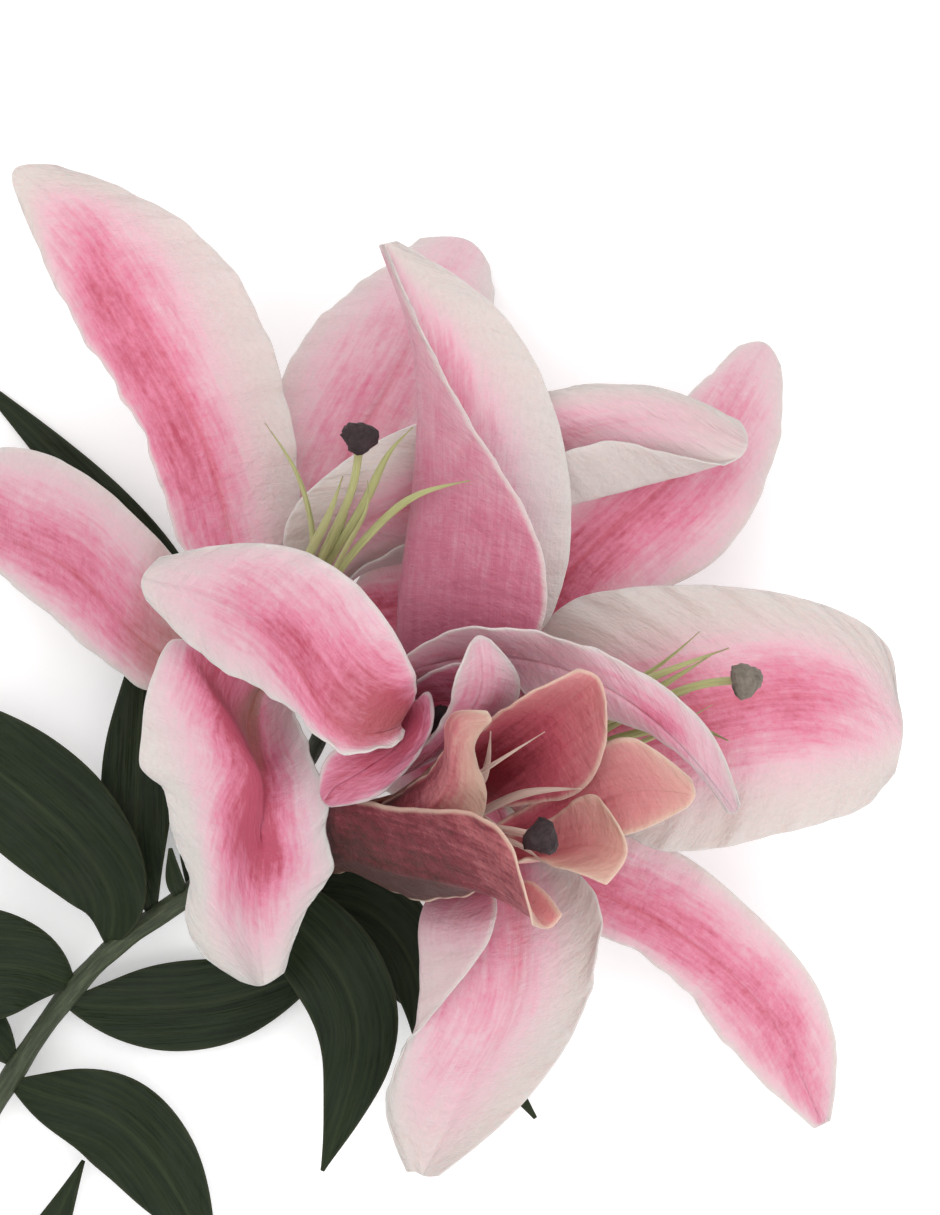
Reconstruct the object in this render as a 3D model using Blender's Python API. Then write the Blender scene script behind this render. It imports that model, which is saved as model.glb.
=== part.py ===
"""A cut spray of oriental lily lying on a surface: four blooms and dark leaves on one stem.

Every size and place below is in millimetres. X runs to the right over the surface, Y runs from the
cut end of the stem towards the flowers, and Z is up, with the surface that the spray lies on at
Z = 0. Each bloom has three inner petals and three outer sepals round its axis. A petal is a thin
sheet over a few guide curves that run from its claw on the receptacle to its tip: the left margin,
the midrib and the right margin, as seen by someone who looks at the inner face with the tip
upwards. A rolled margin has one more guide, along the crest of its roll.
"""
import math

import bpy
import numpy as np

MM = 0.001

# The middle of the finished spray's outline on the surface, which becomes the origin.
MIDDLE = (-59.0, -223.0)

# Sheets: petals and leaves.
PETAL_THICKNESS = 1.0
PETAL_ROWS = 10
PETAL_COLUMNS = 4
LEAF_THICKNESS = 0.9
LEAF_ROWS = 8
LEAF_COLUMNS = 2
LEAF_FOLD = 0.2
LEAF_END_HALF_WIDTH = 1.2
LEAF_WIDEST = 0.85
LEAF_TAPER = 1.1
LEAF_SEAT_GAP = 0.95
SEAT_GAP = 0.3

# Where each guide of a petal stands across it, from its left margin at -1 to its right at 1.
GUIDE_PLACES = {"left": -1.0, "mid": 0.0, "crest": 0.6, "right": 1.0}

# Along the receptacle: each share of its length, with the flower stalk's radius there.
RECEPTACLE_STATIONS = ((0.3, 2.7), (0.6, 4.8), (0.85, 7.9), (1.0, 8.8))

# Along the stigma: each share of its length, with its share of the full radius there.
STIGMA_STATIONS = ((0.12, 0.7), (0.45, 1.0), (0.8, 0.85), (1.0, 0.4))
OVARY_STATIONS = 3
STYLE_STATIONS = 10

# Round the knuckle at the stem's top, in degrees from its far end.
KNUCKLE_ANGLES = (150, 120, 90, 60, 30)

# A direction that no tube starts along, from which the first cross direction is worked out.
TUBE_ASIDE = (0.31, 0.17, 0.93)

# The funnel that the claws form round a bloom's axis.
CLAW_FOOT = 0.7
PETAL_FOOT_RADIUS = 5.0
PETAL_FLARE = 0.17
SEPAL_FOOT_RADIUS = 7.6
SEPAL_FLARE = 0.23
PETAL_CLAW_HALF_ANGLE = 34.0
SEPAL_CLAW_HALF_ANGLE = 30.0
WHORL_STEP = 60.0

# Receptacle, pistil and stamens.
RECEPTACLE_LENGTH = 9.0
STALK_RADIUS = 2.1
OVARY_FOOT = 0.6
OVARY_RADIUS = 1.8
OVARY_LENGTH = 16.0
STYLE_RADIUS = 1.0
STIGMA_RADIUS = 4.2
STIGMA_LENGTH = 7.0
STAMEN_RING_RADII = (2.4, 3.8)
STAMEN_RING_HEIGHT = 2.0
STAMENS = 6
FILAMENT_HALF_WIDTH = 1.0
FILAMENT_HALF_THICKNESS = 0.5
FILAMENT_SPREAD = 4.4
FILAMENT_STATIONS = 9
TUBE_SIDES = 8
TUBE_STEP = 9.0

# The main stem, from its cut end to the knuckle where the flower stalks part.
STEM_POINTS = (
    (-190, -556, 3.2), (-190, -480, 3.2), (-188, -400, 3.3), (-183, -320, 3.4), (-172, -250, 3.8),
    (-155, -195, 5), (-135, -150, 7), (-118, -120, 10), (-103, -99, 13), (-91, -87, 16),
    (-74, -75, 19), (-56, -60, 22),
)
STEM_CUT_RADIUS = 3.2
STEM_TOP_RADIUS = 2.5
KNUCKLE_RADIUS = 4.6

# Each bloom: the point on its receptacle where the claws stand, the way its axis points, the way
# from which turns round the axis are counted, the turn of its first petal in degrees, the points
# of its stalk, the points of its style and the points of its six filaments, in order of turn.
BLOOMS = {
    "upper": {
        "base": (-51, -14, 42), "axis": (0.33, 0.42, 0.845), "zero": (1, 0, 0), "turn": 20,
        "stalk": ((-58, -50, 23), (-58, -34, 29)),
        "style": ((-39, 8, 77), (-33, 20, 92), (-29, 29, 102), (-27, 39, 112)),
        "filaments": (
            ((-34, 7, 79), (-23, 20, 88), (-12, 28, 98), (0, 31, 104)),
            ((-33, 15, 77), (-25, 28, 88), (-19, 39, 100), (-14, 44, 105)),
            ((-36, 13, 76), (-31, 22, 82), (-30, 27, 87)),
            ((-39, 15, 84), (-40, 25, 93), (-43, 34, 101), (-50, 45, 108)),
            ((-42, 8, 80), (-35, 22, 98), (-31, 32, 108)),
            ((-35, 6, 80), (-28, 19, 95), (-25, 26, 102), (-25, 31, 105)),
        ),
    },
    "right": {
        "base": (3, -47, 26), "axis": (0.42, 0.26, 0.87), "zero": (1, 0, 0), "turn": 0,
        "stalk": ((-46, -60, 20), (-28, -57, 15), (-12, -53, 15)),
        "style": ((28, -34, 60), (45, -24, 73), (58, -19, 82), (66, -18, 90)),
        "filaments": (
            ((34, -34, 59), (55, -30, 72), (64, -33, 84)),
            ((34, -28, 59), (49, -19, 68), (60, -12, 73)),
            ((28, -25, 60), (45, -16, 70), (57, -6, 80)),
            ((25, -29, 62), (44, -18, 77), (64, -10, 88)),
            ((22, -33, 62), (41, -26, 79), (54, -21, 88)),
            ((28, -39, 60), (44, -33, 75), (60, -24, 86)),
        ),
    },
    "front": {
        "base": (-37, -59, 52), "axis": (0.69, 0.13, 0.71), "zero": (0, 1, 0), "turn": -30,
        "stalk": ((-52, -64, 28), (-48, -62, 38)),
        "style": ((-10, -55, 82), (1, -54, 98), (9, -54, 112), (16, -55, 128)),
        "filaments": (
            ((-5, -48, 84), (3, -42, 102), (5, -30, 118)),
            ((-9, -48, 90), (0, -42, 106), (18, -30, 124)),
            ((-10, -54, 88), (0, -50, 103), (8, -54, 114)),
            ((-6, -58, 86), (5, -56, 101), (11, -58, 114)),
            ((-4, -60, 84), (8, -57, 98), (18, -62, 112)),
            ((-2, -53, 80), (12, -46, 98), (27, -44, 114)),
        ),
    },
    "middle": {
        "base": (-30, -27, 78), "axis": (0.7, -0.05, 0.71), "zero": (0, 1, 0), "turn": 60,
        "stalk": ((-49, -53, 30), (-43, -42, 48), (-38, -33, 62)),
        "style": ((-14, -28, 90), (-10, -28, 90)),
        "filaments": (
            ((-18, -26, 93), (-15, -26, 94)),
            ((-18, -29, 92), (-15, -29, 92)),
            ((-16, -32, 89), (-14, -32, 89)),
            ((-13, -30, 86), (-12, -30, 86)),
            ((-13, -26, 87), (-11, -26, 87)),
            ((-15, -23, 90), (-13, -23, 90)),
        ),
    },
}

# Each petal: its bloom, its place in the whorl (even places are petals, odd ones sepals), how far its
# claw reaches up the axis and its guides beyond the claw.
PETALS = {
    # Reaches to the right, with its lower margin rolled up.
    "upper_petal_right": {
        "bloom": "upper", "place": 0, "claw": 20,
        "left": ((-46, 19, 80), (-23, 41, 82), (2, 50, 76), (28, 55, 69), (54, 53, 59), (68, 47, 54)),
        "mid": ((-32, 16, 70), (-12, 27, 74), (10, 38, 71), (34, 45, 67), (56, 46, 58), (70, 42, 53)),
        "crest": ((-31, 6, 60), (-10, 13, 64), (14, 22, 66), (36, 29, 63), (55, 34, 56), (68, 38, 52)),
        "right": ((-30, 7, 66), (-10, 18, 74), (12, 32, 78), (32, 41, 75), (52, 38, 64), (64, 36, 55)),
    },
    # Behind, with its tip down on the surface.
    "upper_sepal_top": {
        "bloom": "upper", "place": 1, "claw": 18,
        "left": ((-49, 27, 62), (-49, 50, 59), (-40, 71, 46), (-23, 87, 27), (-13, 96, 6)),
        "mid": ((-38, 20, 58), (-26, 46, 56), (-14, 68, 46), (-7, 85, 25), (-1, 96, 1)),
        "right": ((-27, 17, 52), (-8, 40, 52), (3, 62, 41), (6, 79, 22), (5, 89, 5)),
    },
    # The longest petal, up to the left.
    "upper_petal_left": {
        "bloom": "upper", "place": 2, "claw": 16,
        "left": (
            (-64, 4, 64), (-75, 24, 76), (-82, 45, 81),
            (-95, 66, 82), (-107, 89, 80), (-112, 101, 79),
        ),
        "mid": ((-55, 4, 66), (-63, 32, 79), (-72, 54, 85), (-85, 77, 86), (-99, 97, 82), (-113, 109, 78)),
        "right": (
            (-43, 12, 66), (-43, 33, 72), (-48, 60, 78),
            (-61, 86, 80), (-84, 103, 79), (-103, 110, 77),
        ),
    },
    # Hangs down to the left, with its tip on the surface.
    "upper_sepal_left": {
        "bloom": "upper", "place": 3, "claw": 7,
        "left": ((-64, -21, 54), (-88, -17, 51), (-104, -4, 46), (-122, 10, 28), (-139, 31, 1)),
        "mid": ((-61, -15, 56), (-82, -9, 55), (-98, 7, 47), (-118, 18, 29), (-138, 33, 1)),
        "right": ((-65, 2, 50), (-83, 21, 49), (-100, 35, 40), (-119, 41, 25), (-137, 35, 1)),
    },
    # Bends over the stem, with a high lobe on its left.
    "upper_petal_down": {
        "bloom": "upper", "place": 4, "claw": 12,
        "left": (
            (-45, -21, 72), (-42, -30, 80), (-38, -40, 84), (-35, -48, 85), (-36, -55, 82),
            (-34, -64, 78), (-38, -71, 72), (-43, -80, 65), (-47, -92, 57),
        ),
        "mid": (
            (-52, -19, 66), (-55, -26, 68), (-55, -33, 73), (-53, -40, 79),
            (-52, -50, 82), (-52, -60, 79), (-53, -70, 73), (-53, -83, 64), (-52, -95, 57),
        ),
        "crest": (
            (-59, -13, 80), (-67, -15, 90), (-64, -22, 91), (-61, -30, 89), (-57, -38, 86),
            (-60, -50, 84), (-62, -62, 79), (-63, -74, 72), (-61, -86, 63), (-55, -95, 57),
        ),
        "right": (
            (-61, -11, 79), (-73, -8, 87), (-77, -14, 92), (-80, -24, 92), (-81, -33, 89), (-81, -40, 86),
            (-76, -45, 83), (-74, -56, 79), (-70, -66, 74), (-71, -77, 69), (-67, -87, 63), (-58, -94, 57),
        ),
    },
    # Under the other blooms.
    "upper_sepal_under": {
        "bloom": "upper", "place": 5, "claw": 12,
        "left": ((-31, 2, 56), (-21, 14, 58), (-8, 18, 57), (0, 12, 53), (4, 2, 50)),
        "mid": ((-32, -3, 56), (-20, 0, 58), (-9, 1, 57), (-1, 0, 54), (5, 0, 50)),
        "right": ((-32, -12, 52), (-22, -13, 52), (-11, -12, 51), (-2, -8, 49), (4, -3, 49)),
    },
    # Broad, to the right.
    "right_petal_side": {
        "bloom": "right", "place": 0, "claw": 20,
        "left": (
            (17, -14, 54), (21, -2, 60), (43, 5, 65), (74, 4, 66),
            (97, -3, 59), (106, -11, 52), (108, -22, 47),
        ),
        "mid": ((28, -32, 50), (46, -27, 61), (68, -23, 64), (88, -22, 60), (101, -26, 52), (110, -31, 44)),
        "right": (
            (27, -42, 50), (40, -57, 57), (64, -60, 60),
            (85, -55, 58), (100, -50, 50), (108, -42, 43),
        ),
    },
    # To the upper right, with its tip on the surface.
    "right_sepal_top": {
        "bloom": "right", "place": 1, "claw": 18,
        "left": ((8, -8, 44), (17, 17, 49), (34, 36, 47), (51, 50, 37), (64, 62, 15), (70, 68, 3)),
        "mid": ((13, -18, 44), (26, 10, 50), (41, 24, 49), (55, 37, 41), (68, 55, 23), (77, 69, 1)),
        "right": ((23, -8, 46), (41, 2, 50), (62, 12, 45), (76, 33, 31), (81, 52, 13), (81, 63, 3)),
    },
    # Folded along its keel.
    "right_petal_top": {
        "bloom": "right", "place": 2, "claw": 14,
        "left": ((0, -28, 66), (17, -6, 90), (17, 15, 99), (2, 42, 104), (-10, 64, 102), (-21, 89, 96)),
        "mid": ((-10, -28, 62), (-17, -4, 77), (-14, 22, 87), (-12, 44, 93), (-13, 66, 96), (-22, 89, 95)),
        "right": ((8, -23, 54), (20, -2, 68), (25, 23, 76), (21, 48, 83), (9, 71, 87), (-18, 90, 93)),
    },
    # Short, curled under the front bloom.
    "right_sepal_under": {
        "bloom": "right", "place": 3, "claw": 8,
        "left": ((-2, -49, 48), (-13, -50, 48), (-22, -46, 41), (-26, -42, 31)),
        "mid": ((-2, -39, 50), (-13, -36, 49), (-21, -33, 41), (-27, -35, 30)),
        "right": ((0, -27, 48), (-11, -24, 47), (-20, -24, 40), (-26, -28, 31)),
    },
    # Towards the stem, with one margin rolled over.
    "right_petal_down": {
        "bloom": "right", "place": 4, "claw": 14,
        "left": (
            (18, -61, 57), (31, -71, 70), (31, -91, 71),
            (23, -112, 59), (8, -131, 47), (-8, -145, 37),
        ),
        "mid": (
            (10, -60, 50), (12, -79, 64), (11, -98, 65),
            (3, -116, 54), (-6, -133, 43), (-12, -145, 36),
        ),
        "crest": (
            (-1, -61, 49), (-12, -78, 67), (-12, -98, 67),
            (-15, -117, 55), (-17, -131, 44), (-14, -144, 37),
        ),
        "right": (
            (3, -60, 55), (6, -79, 75), (-4, -95, 72),
            (-17, -112, 61), (-21, -128, 48), (-16, -144, 37),
        ),
    },
    # To the lower right, with its tip on the surface.
    "right_sepal_down": {
        "bloom": "right", "place": 5, "claw": 8,
        "left": ((23, -54, 46), (48, -60, 53), (68, -74, 48), (88, -96, 31), (95, -119, 12), (94, -134, 1)),
        "mid": ((13, -60, 44), (39, -75, 52), (60, -88, 46), (76, -104, 30), (86, -122, 12), (92, -135, 1)),
        "right": (
            (10, -67, 42), (30, -82, 48), (48, -91, 43),
            (62, -107, 29), (77, -124, 12), (90, -136, 1),
        ),
    },
    # Upper petal of the half-open bloom.
    "front_petal_top": {
        "bloom": "front", "place": 0, "claw": 16,
        "left": ((-18, -46, 74), (-8, -38, 88), (0, -32, 99), (8, -25, 112), (16, -20, 119), (26, -15, 118)),
        "mid": ((-15, -52, 66), (0, -42, 83), (14, -31, 97), (25, -22, 108), (31, -17, 116)),
        "right": ((-13, -56, 62), (6, -50, 78), (27, -45, 94), (33, -33, 105), (33, -23, 113)),
    },
    "front_sepal_top": {
        "bloom": "front", "place": 1, "claw": 8,
        "left": (
            (-30, -48, 73), (-18, -40, 90), (-10, -32, 98),
            (-5, -24, 109), (-3, -16, 118), (0, -9, 117),
        ),
        "mid": ((-27, -46, 69), (-12, -38, 85), (-3, -29, 97), (3, -18, 109), (2, -7, 112)),
        "right": ((-22, -44, 63), (-6, -36, 79), (8, -27, 94), (12, -18, 104), (5, -8, 111)),
    },
    # Nearest the eye of someone who looks down, and seen from outside.
    "front_petal_left": {
        "bloom": "front", "place": 2, "claw": 12,
        "left": (
            (-22, -65, 67), (-9, -63, 82), (-1, -59, 98), (3, -51, 112),
            (3, -41, 122), (1, -33, 127), (4, -28, 128),
        ),
        "mid": (
            (-30, -59, 72), (-18, -54, 94), (-8, -47, 113),
            (-4, -37, 126), (-2, -28, 133), (5, -27, 130),
        ),
        "right": (
            (-30, -53, 71), (-19, -47, 90), (-11, -41, 105),
            (-6, -33, 119), (-3, -25, 130), (4, -25, 131),
        ),
    },
    # Lower sepal, seen from outside, with its lip rolled out.
    "front_sepal_left": {
        "bloom": "front", "place": 3, "claw": 4,
        "left": ((-31, -66, 60), (-18, -71, 78), (0, -70, 98), (15, -67, 114), (22, -74, 127)),
        "mid": ((-33, -63, 72), (-20, -64, 93), (-6, -66, 110), (8, -70, 121), (19, -77, 128)),
        "right": ((-36, -49, 79), (-24, -48, 97), (-9, -49, 117), (7, -53, 136), (15, -76, 132)),
    },
    # Lower petal with a broad lip.
    "front_petal_down": {
        "bloom": "front", "place": 4, "claw": 14,
        "left": ((-10, -63, 62), (6, -58, 78), (20, -52, 91), (30, -46, 103), (36, -53, 112)),
        "mid": ((-11, -66, 62), (4, -63, 78), (18, -61, 92), (29, -58, 103), (38, -60, 113)),
        "right": (
            (-13, -68, 64), (0, -66, 82), (10, -62, 98),
            (18, -62, 108), (25, -64, 114), (33, -67, 117),
        ),
    },
    "front_sepal_right": {
        "bloom": "front", "place": 5, "claw": 14,
        "left": ((-10, -57, 60), (10, -52, 76), (25, -41, 89), (38, -32, 101), (54, -42, 100)),
        "mid": ((-10, -60, 58), (12, -57, 74), (29, -49, 88), (42, -45, 96), (55, -46, 100)),
        "right": ((-10, -62, 58), (12, -61, 72), (28, -58, 86), (41, -55, 94), (53, -49, 99)),
    },
    # Bent right back over the upper bloom.
    "middle_petal_left": {
        "bloom": "middle", "place": 0, "claw": 12,
        "left": ((-17, -32, 114), (-29, -35, 122), (-44, -24, 120), (-60, -15, 112), (-79, 2, 104)),
        "mid": ((-18, -29, 112), (-28, -30, 120), (-42, -14, 123), (-60, 1, 114), (-80, 7, 103)),
        "right": ((-13, -21, 112), (-19, -5, 126), (-37, 12, 125), (-60, 15, 114), (-76, 12, 104)),
    },
    # Short, bent back.
    "middle_sepal_left": {
        "bloom": "middle", "place": 1, "claw": 12,
        "left": (
            (-18, -31, 97), (-10, -21, 101), (-9, -26, 103), (-10, -31, 104), (-12, -35, 104),
            (-16, -40, 103), (-21, -45, 101), (-28, -48, 98), (-34, -49, 93),
        ),
        "mid": (
            (-17, -29, 101), (-17, -33, 106), (-22, -37, 107),
            (-28, -41, 104), (-33, -44, 99), (-36, -48, 93),
        ),
        "right": (
            (-26, -34, 97), (-24, -35, 102), (-27, -34, 106),
            (-33, -35, 105), (-36, -39, 101), (-37, -45, 94),
        ),
    },
    # Small, bent back under the one before it.
    "middle_petal_down": {
        "bloom": "middle", "place": 2, "claw": 6,
        "left": ((-26, -38, 81), (-31, -42, 79), (-36, -43, 77)),
        "mid": ((-26, -37, 83), (-32, -41, 81), (-36, -42, 79)),
        "right": ((-27, -35, 85), (-32, -38, 83), (-36, -40, 80)),
    },
    # Small, under the bloom.
    "middle_sepal_down": {
        "bloom": "middle", "place": 3, "claw": 10,
        "left": ((-13, -26, 78), (-14, -23, 72), (-20, -22, 67)),
        "mid": ((-15, -29, 77), (-16, -27, 70), (-21, -24, 65)),
        "right": ((-18, -32, 77), (-19, -30, 70), (-22, -26, 65)),
    },
    # On the far side.
    "middle_petal_right": {
        "bloom": "middle", "place": 4, "claw": 14,
        "left": ((-14, -19, 91), (-5, -14, 98), (8, -17, 95), (18, -25, 89), (28, -31, 81), (40, -36, 77)),
        "mid": ((-5, -23, 84), (8, -25, 82), (22, -30, 78), (42, -38, 75)),
        "right": ((-4, -27, 80), (8, -32, 76), (24, -38, 73), (40, -41, 74)),
    },
    # Long, over the right bloom.
    "middle_sepal_right": {
        "bloom": "middle", "place": 5, "claw": 14,
        "left": ((-13, -10, 98), (0, -5, 106), (20, -7, 104), (42, -16, 98), (60, -32, 88), (67, -49, 79)),
        "mid": ((-5, -13, 91), (14, -13, 91), (34, -20, 94), (52, -34, 88), (66, -51, 78)),
        "right": ((0, -20, 85), (18, -23, 84), (36, -28, 88), (52, -36, 86), (64, -51, 78)),
    },
}

# Each leaf by the flowers: the Y on the stem where it starts, the points of its midrib and its
# greatest half width.
UPPER_LEAVES = {
    "leaf_top_left": (-73, ((-72, -61, 11), (-70, -30, 8), (-76, -3, 8), (-106, 38, 5), (-131, 62, 1)), 9),
    "leaf_bract_top": (-69, ((-63, -58, 33), (-58, -46, 43), (-53, -31, 49)), 5),
    "leaf_upright": (-80, ((-85, -68, 19), (-86, -45, 19), (-85, -24, 18), (-84, -3, 16)), 9.5),
    "leaf_bract_side": (-75, ((-76, -70, 25), (-77, -62, 27)), 2.5),
    "leaf_left": (
        -88, ((-92, -75, 25), (-101, -60, 28), (-118, -45, 25), (-138, -31, 18), (-158, -19, 6)),
        16,
    ),
    "leaf_left_low": (-98, ((-114, -93, 21), (-130, -92, 22), (-148, -92, 15), (-168, -95, 4)), 16),
    "leaf_under_left": (-102, ((-94, -104, 8), (-78, -104, 5), (-62, -102, 4), (-34, -91, 3)), 12),
    "leaf_middle": (
        -70, ((-52, -76, 29), (-36, -90, 34), (-29, -106, 33), (-31, -124, 29), (-38, -145, 24)),
        12,
    ),
    "leaf_middle_right": (-71, ((-54, -76, 17), (-30, -77, 16), (-15, -92, 17), (-13, -117, 14)), 12),
    "leaf_low_right": (-75, ((-60, -80, 11), (-30, -86, 7), (-5, -105, 7), (17, -133, 5)), 9),
    "leaf_bottom": (-123, ((-109, -127, 12), (-94, -132, 13), (-80, -146, 12), (-66, -172, 8)), 12.5),
    "leaf_bottom_left": (-119, ((-128, -108, 9), (-143, -104, 6), (-158, -106, 3)), 8),
}

# The leaves lower down the stem: one more on the other side at each step, alike but for their side.
LOWER_LEAF_YS = (-480, -440, -400, -360, -320, -275, -225)
LOWER_LEAF_OFFSETS = ((13, 4, 3), (25, 31, 7), (33, 64, 5), (38, 96, -2))
LOWER_LEAF_HALF_WIDTH = 10.5

# Base colours, with no light on them, and how rough each kind of surface is.
STEM_ROUGHNESS = 0.55
SOFT_ROUGHNESS = 0.5
PINK = (0.83, 0.45, 0.53)
DUSTY_PINK = (0.72, 0.42, 0.42)
LEAF_GREEN = (0.05, 0.09, 0.04)
STEM_GREEN = (0.19, 0.27, 0.08)
FILAMENT_GREEN = (0.34, 0.41, 0.10)
PISTIL_GREEN = (0.22, 0.27, 0.08)


def unit(vector):
    """Return the vector at length one."""
    vector = np.asarray(vector, dtype=float)
    return vector / np.linalg.norm(vector)


def spline(knots, values, where):
    """Return a natural cubic spline through values at knots, read at where."""
    knots = np.asarray(knots, dtype=float)
    values = np.asarray(values, dtype=float)
    where = np.asarray(where, dtype=float)
    count = len(knots)
    steps = np.diff(knots)
    system = np.eye(count)
    target = np.zeros_like(values)
    slopes = np.diff(values, axis=0) / steps[:, None]
    for k in range(1, count - 1):
        system[k, k - 1:k + 2] = steps[k - 1], 2 * (steps[k - 1] + steps[k]), steps[k]
        target[k] = 6 * (slopes[k] - slopes[k - 1])
    bends = np.linalg.solve(system, target)
    cell = np.clip(np.searchsorted(knots, where) - 1, 0, count - 2)
    step = steps[cell][:, None]
    after = ((where - knots[cell]) / steps[cell])[:, None]
    before = 1 - after
    bow = (before**3 - before) * bends[cell] + (after**3 - after) * bends[cell + 1]
    return before * values[cell] + after * values[cell + 1] + bow * step**2 / 6


def smooth_curve(points, count):
    """Return count + 1 evenly spaced points on a smooth curve through points."""
    points = np.asarray(points, dtype=float)
    lengths = np.linalg.norm(np.diff(points, axis=0), axis=1)
    knots = np.concatenate(([0.0], np.cumsum(lengths)))
    return spline(knots, points, np.linspace(0, knots[-1], count + 1))


def bloom_frame(bloom):
    """Return a bloom's base, its axis and the two directions at turns of 0 and 90 degrees."""
    axis = unit(bloom["axis"])
    zero = np.asarray(bloom["zero"], dtype=float)
    first = unit(zero - axis * np.dot(zero, axis))
    return np.asarray(bloom["base"], dtype=float), axis, first, np.cross(axis, first)


def in_bloom(bloom, height, radius, turn):
    """Return the point at a height up a bloom's axis, a radius from it and a turn round it."""
    base, axis, first, second = bloom_frame(bloom)
    angle = math.radians(turn)
    return base + axis * height + (first * math.cos(angle) + second * math.sin(angle)) * radius


def claw_points(petal, side):
    """Return the foot and the top of a petal's claw, at side 1 for its left and -1 for its right."""
    bloom = BLOOMS[petal["bloom"]]
    is_petal = petal["place"] % 2 == 0
    foot_radius = PETAL_FOOT_RADIUS if is_petal else SEPAL_FOOT_RADIUS
    flare = PETAL_FLARE if is_petal else SEPAL_FLARE
    half_angle = PETAL_CLAW_HALF_ANGLE if is_petal else SEPAL_CLAW_HALF_ANGLE
    turn = bloom["turn"] + WHORL_STEP * petal["place"] + side * half_angle
    foot = in_bloom(bloom, CLAW_FOOT, foot_radius, turn)
    return [foot, in_bloom(bloom, petal["claw"], foot_radius + flare * petal["claw"], turn)]


def petal_grid(petal):
    """Return the middle surface of a petal as rows of points from its left to its right margin."""
    used = [side for side in GUIDE_PLACES if side in petal]
    guides = []
    for side in used:
        claw = claw_points(petal, -GUIDE_PLACES[side])
        guides.append(smooth_curve(claw + list(petal[side]), PETAL_ROWS))
    knots = [GUIDE_PLACES[side] for side in used]
    across = np.linspace(-1, 1, PETAL_COLUMNS + 1)
    return np.array([spline(knots, row, across) for row in np.stack(guides, axis=1)])


def leaf_grid(points, half_width):
    """Return the middle surface of a leaf: widest a little below its middle and folded along it."""
    spine = smooth_curve(points, LEAF_ROWS)
    along = np.gradient(spine, axis=0)
    rows = []
    for number, (point, way) in enumerate(zip(spine, along)):
        fraction = number / LEAF_ROWS
        swell = math.sin(math.pi * fraction**LEAF_WIDEST) ** LEAF_TAPER
        half = LEAF_END_HALF_WIDTH + (half_width - LEAF_END_HALF_WIDTH) * swell
        aside = unit(np.cross(way, (0, 0, 1)))
        lift = unit(np.cross(aside, way))
        across = np.linspace(-1, 1, LEAF_COLUMNS + 1)
        rows.append([point + aside * half * v + lift * half * LEAF_FOLD * abs(v) for v in across])
    return np.array(rows)


def sheet_mesh(grid, thickness):
    """Return the points and faces of a closed sheet of even thickness about a grid of points."""
    rows, columns = grid.shape[:2]
    along = np.gradient(grid, axis=0)
    across = np.gradient(grid, axis=1)
    normals = np.cross(across, along)
    normals /= np.linalg.norm(normals, axis=2, keepdims=True)
    above = grid + normals * thickness / 2
    below = grid - normals * thickness / 2
    points = np.concatenate((above.reshape(-1, 3), below.reshape(-1, 3)))
    size = rows * columns
    faces = []
    for r in range(rows - 1):
        for c in range(columns - 1):
            corner = r * columns + c
            quad = (corner, corner + 1, corner + columns + 1, corner + columns)
            faces.append(quad)
            faces.append(tuple(size + k for k in reversed(quad)))
    rim = list(range(columns))
    rim += [r * columns + columns - 1 for r in range(1, rows)]
    rim += [(rows - 1) * columns + c for c in range(columns - 2, -1, -1)]
    rim += [r * columns for r in range(rows - 2, 0, -1)]
    for here, there in zip(rim, rim[1:] + rim[:1]):
        faces.append((there, here, size + here, size + there))
    return points, faces


def tube_frames(points):
    """Return the tangent and two cross directions at each point, with no twist between them."""
    tangents = [unit(way) for way in np.gradient(points, axis=0)]
    side = unit(np.cross(tangents[0], TUBE_ASIDE))
    frames = []
    for tangent in tangents:
        side = unit(side - tangent * np.dot(side, tangent))
        frames.append((side, np.cross(tangent, side)))
    return frames


def tube_mesh(points, radii):
    """Return the points and faces of a closed round tube along points, with a radius at each."""
    vertices = []
    for point, radius, (side, other) in zip(points, radii, tube_frames(points)):
        for k in range(TUBE_SIDES):
            angle = 2 * math.pi * k / TUBE_SIDES
            vertices.append(point + (side * math.cos(angle) + other * math.sin(angle)) * radius)
    last = (len(points) - 1) * TUBE_SIDES
    faces = [tuple(range(TUBE_SIDES - 1, -1, -1)), tuple(last + k for k in range(TUBE_SIDES))]
    for r in range(len(points) - 1):
        for k in range(TUBE_SIDES):
            here = r * TUBE_SIDES + k
            beside = r * TUBE_SIDES + (k + 1) % TUBE_SIDES
            faces.append((here, beside, beside + TUBE_SIDES, here + TUBE_SIDES))
    return vertices, faces


def curve_stations(points):
    """Return evenly spaced points on the smooth curve through points, about a tube step apart."""
    length = np.linalg.norm(np.diff(np.asarray(points, dtype=float), axis=0), axis=1).sum()
    return smooth_curve(points, max(2, round(length / TUBE_STEP)))


def stem_mesh():
    """Return the main stem, slightly thinner towards the top, with a round knuckle at its end."""
    stations = curve_stations(STEM_POINTS)
    radii = list(np.linspace(STEM_CUT_RADIUS, STEM_TOP_RADIUS, len(stations)))
    way = unit(stations[-1] - stations[-2])
    ball = []
    for angle in KNUCKLE_ANGLES:
        ball.append(stations[-1] + way * KNUCKLE_RADIUS * math.cos(math.radians(angle)))
        radii.append(KNUCKLE_RADIUS * math.sin(math.radians(angle)))
    points = np.concatenate((stations[:-1], ball))
    return tube_mesh(points, radii[:len(stations) - 1] + radii[len(stations):])


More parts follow.
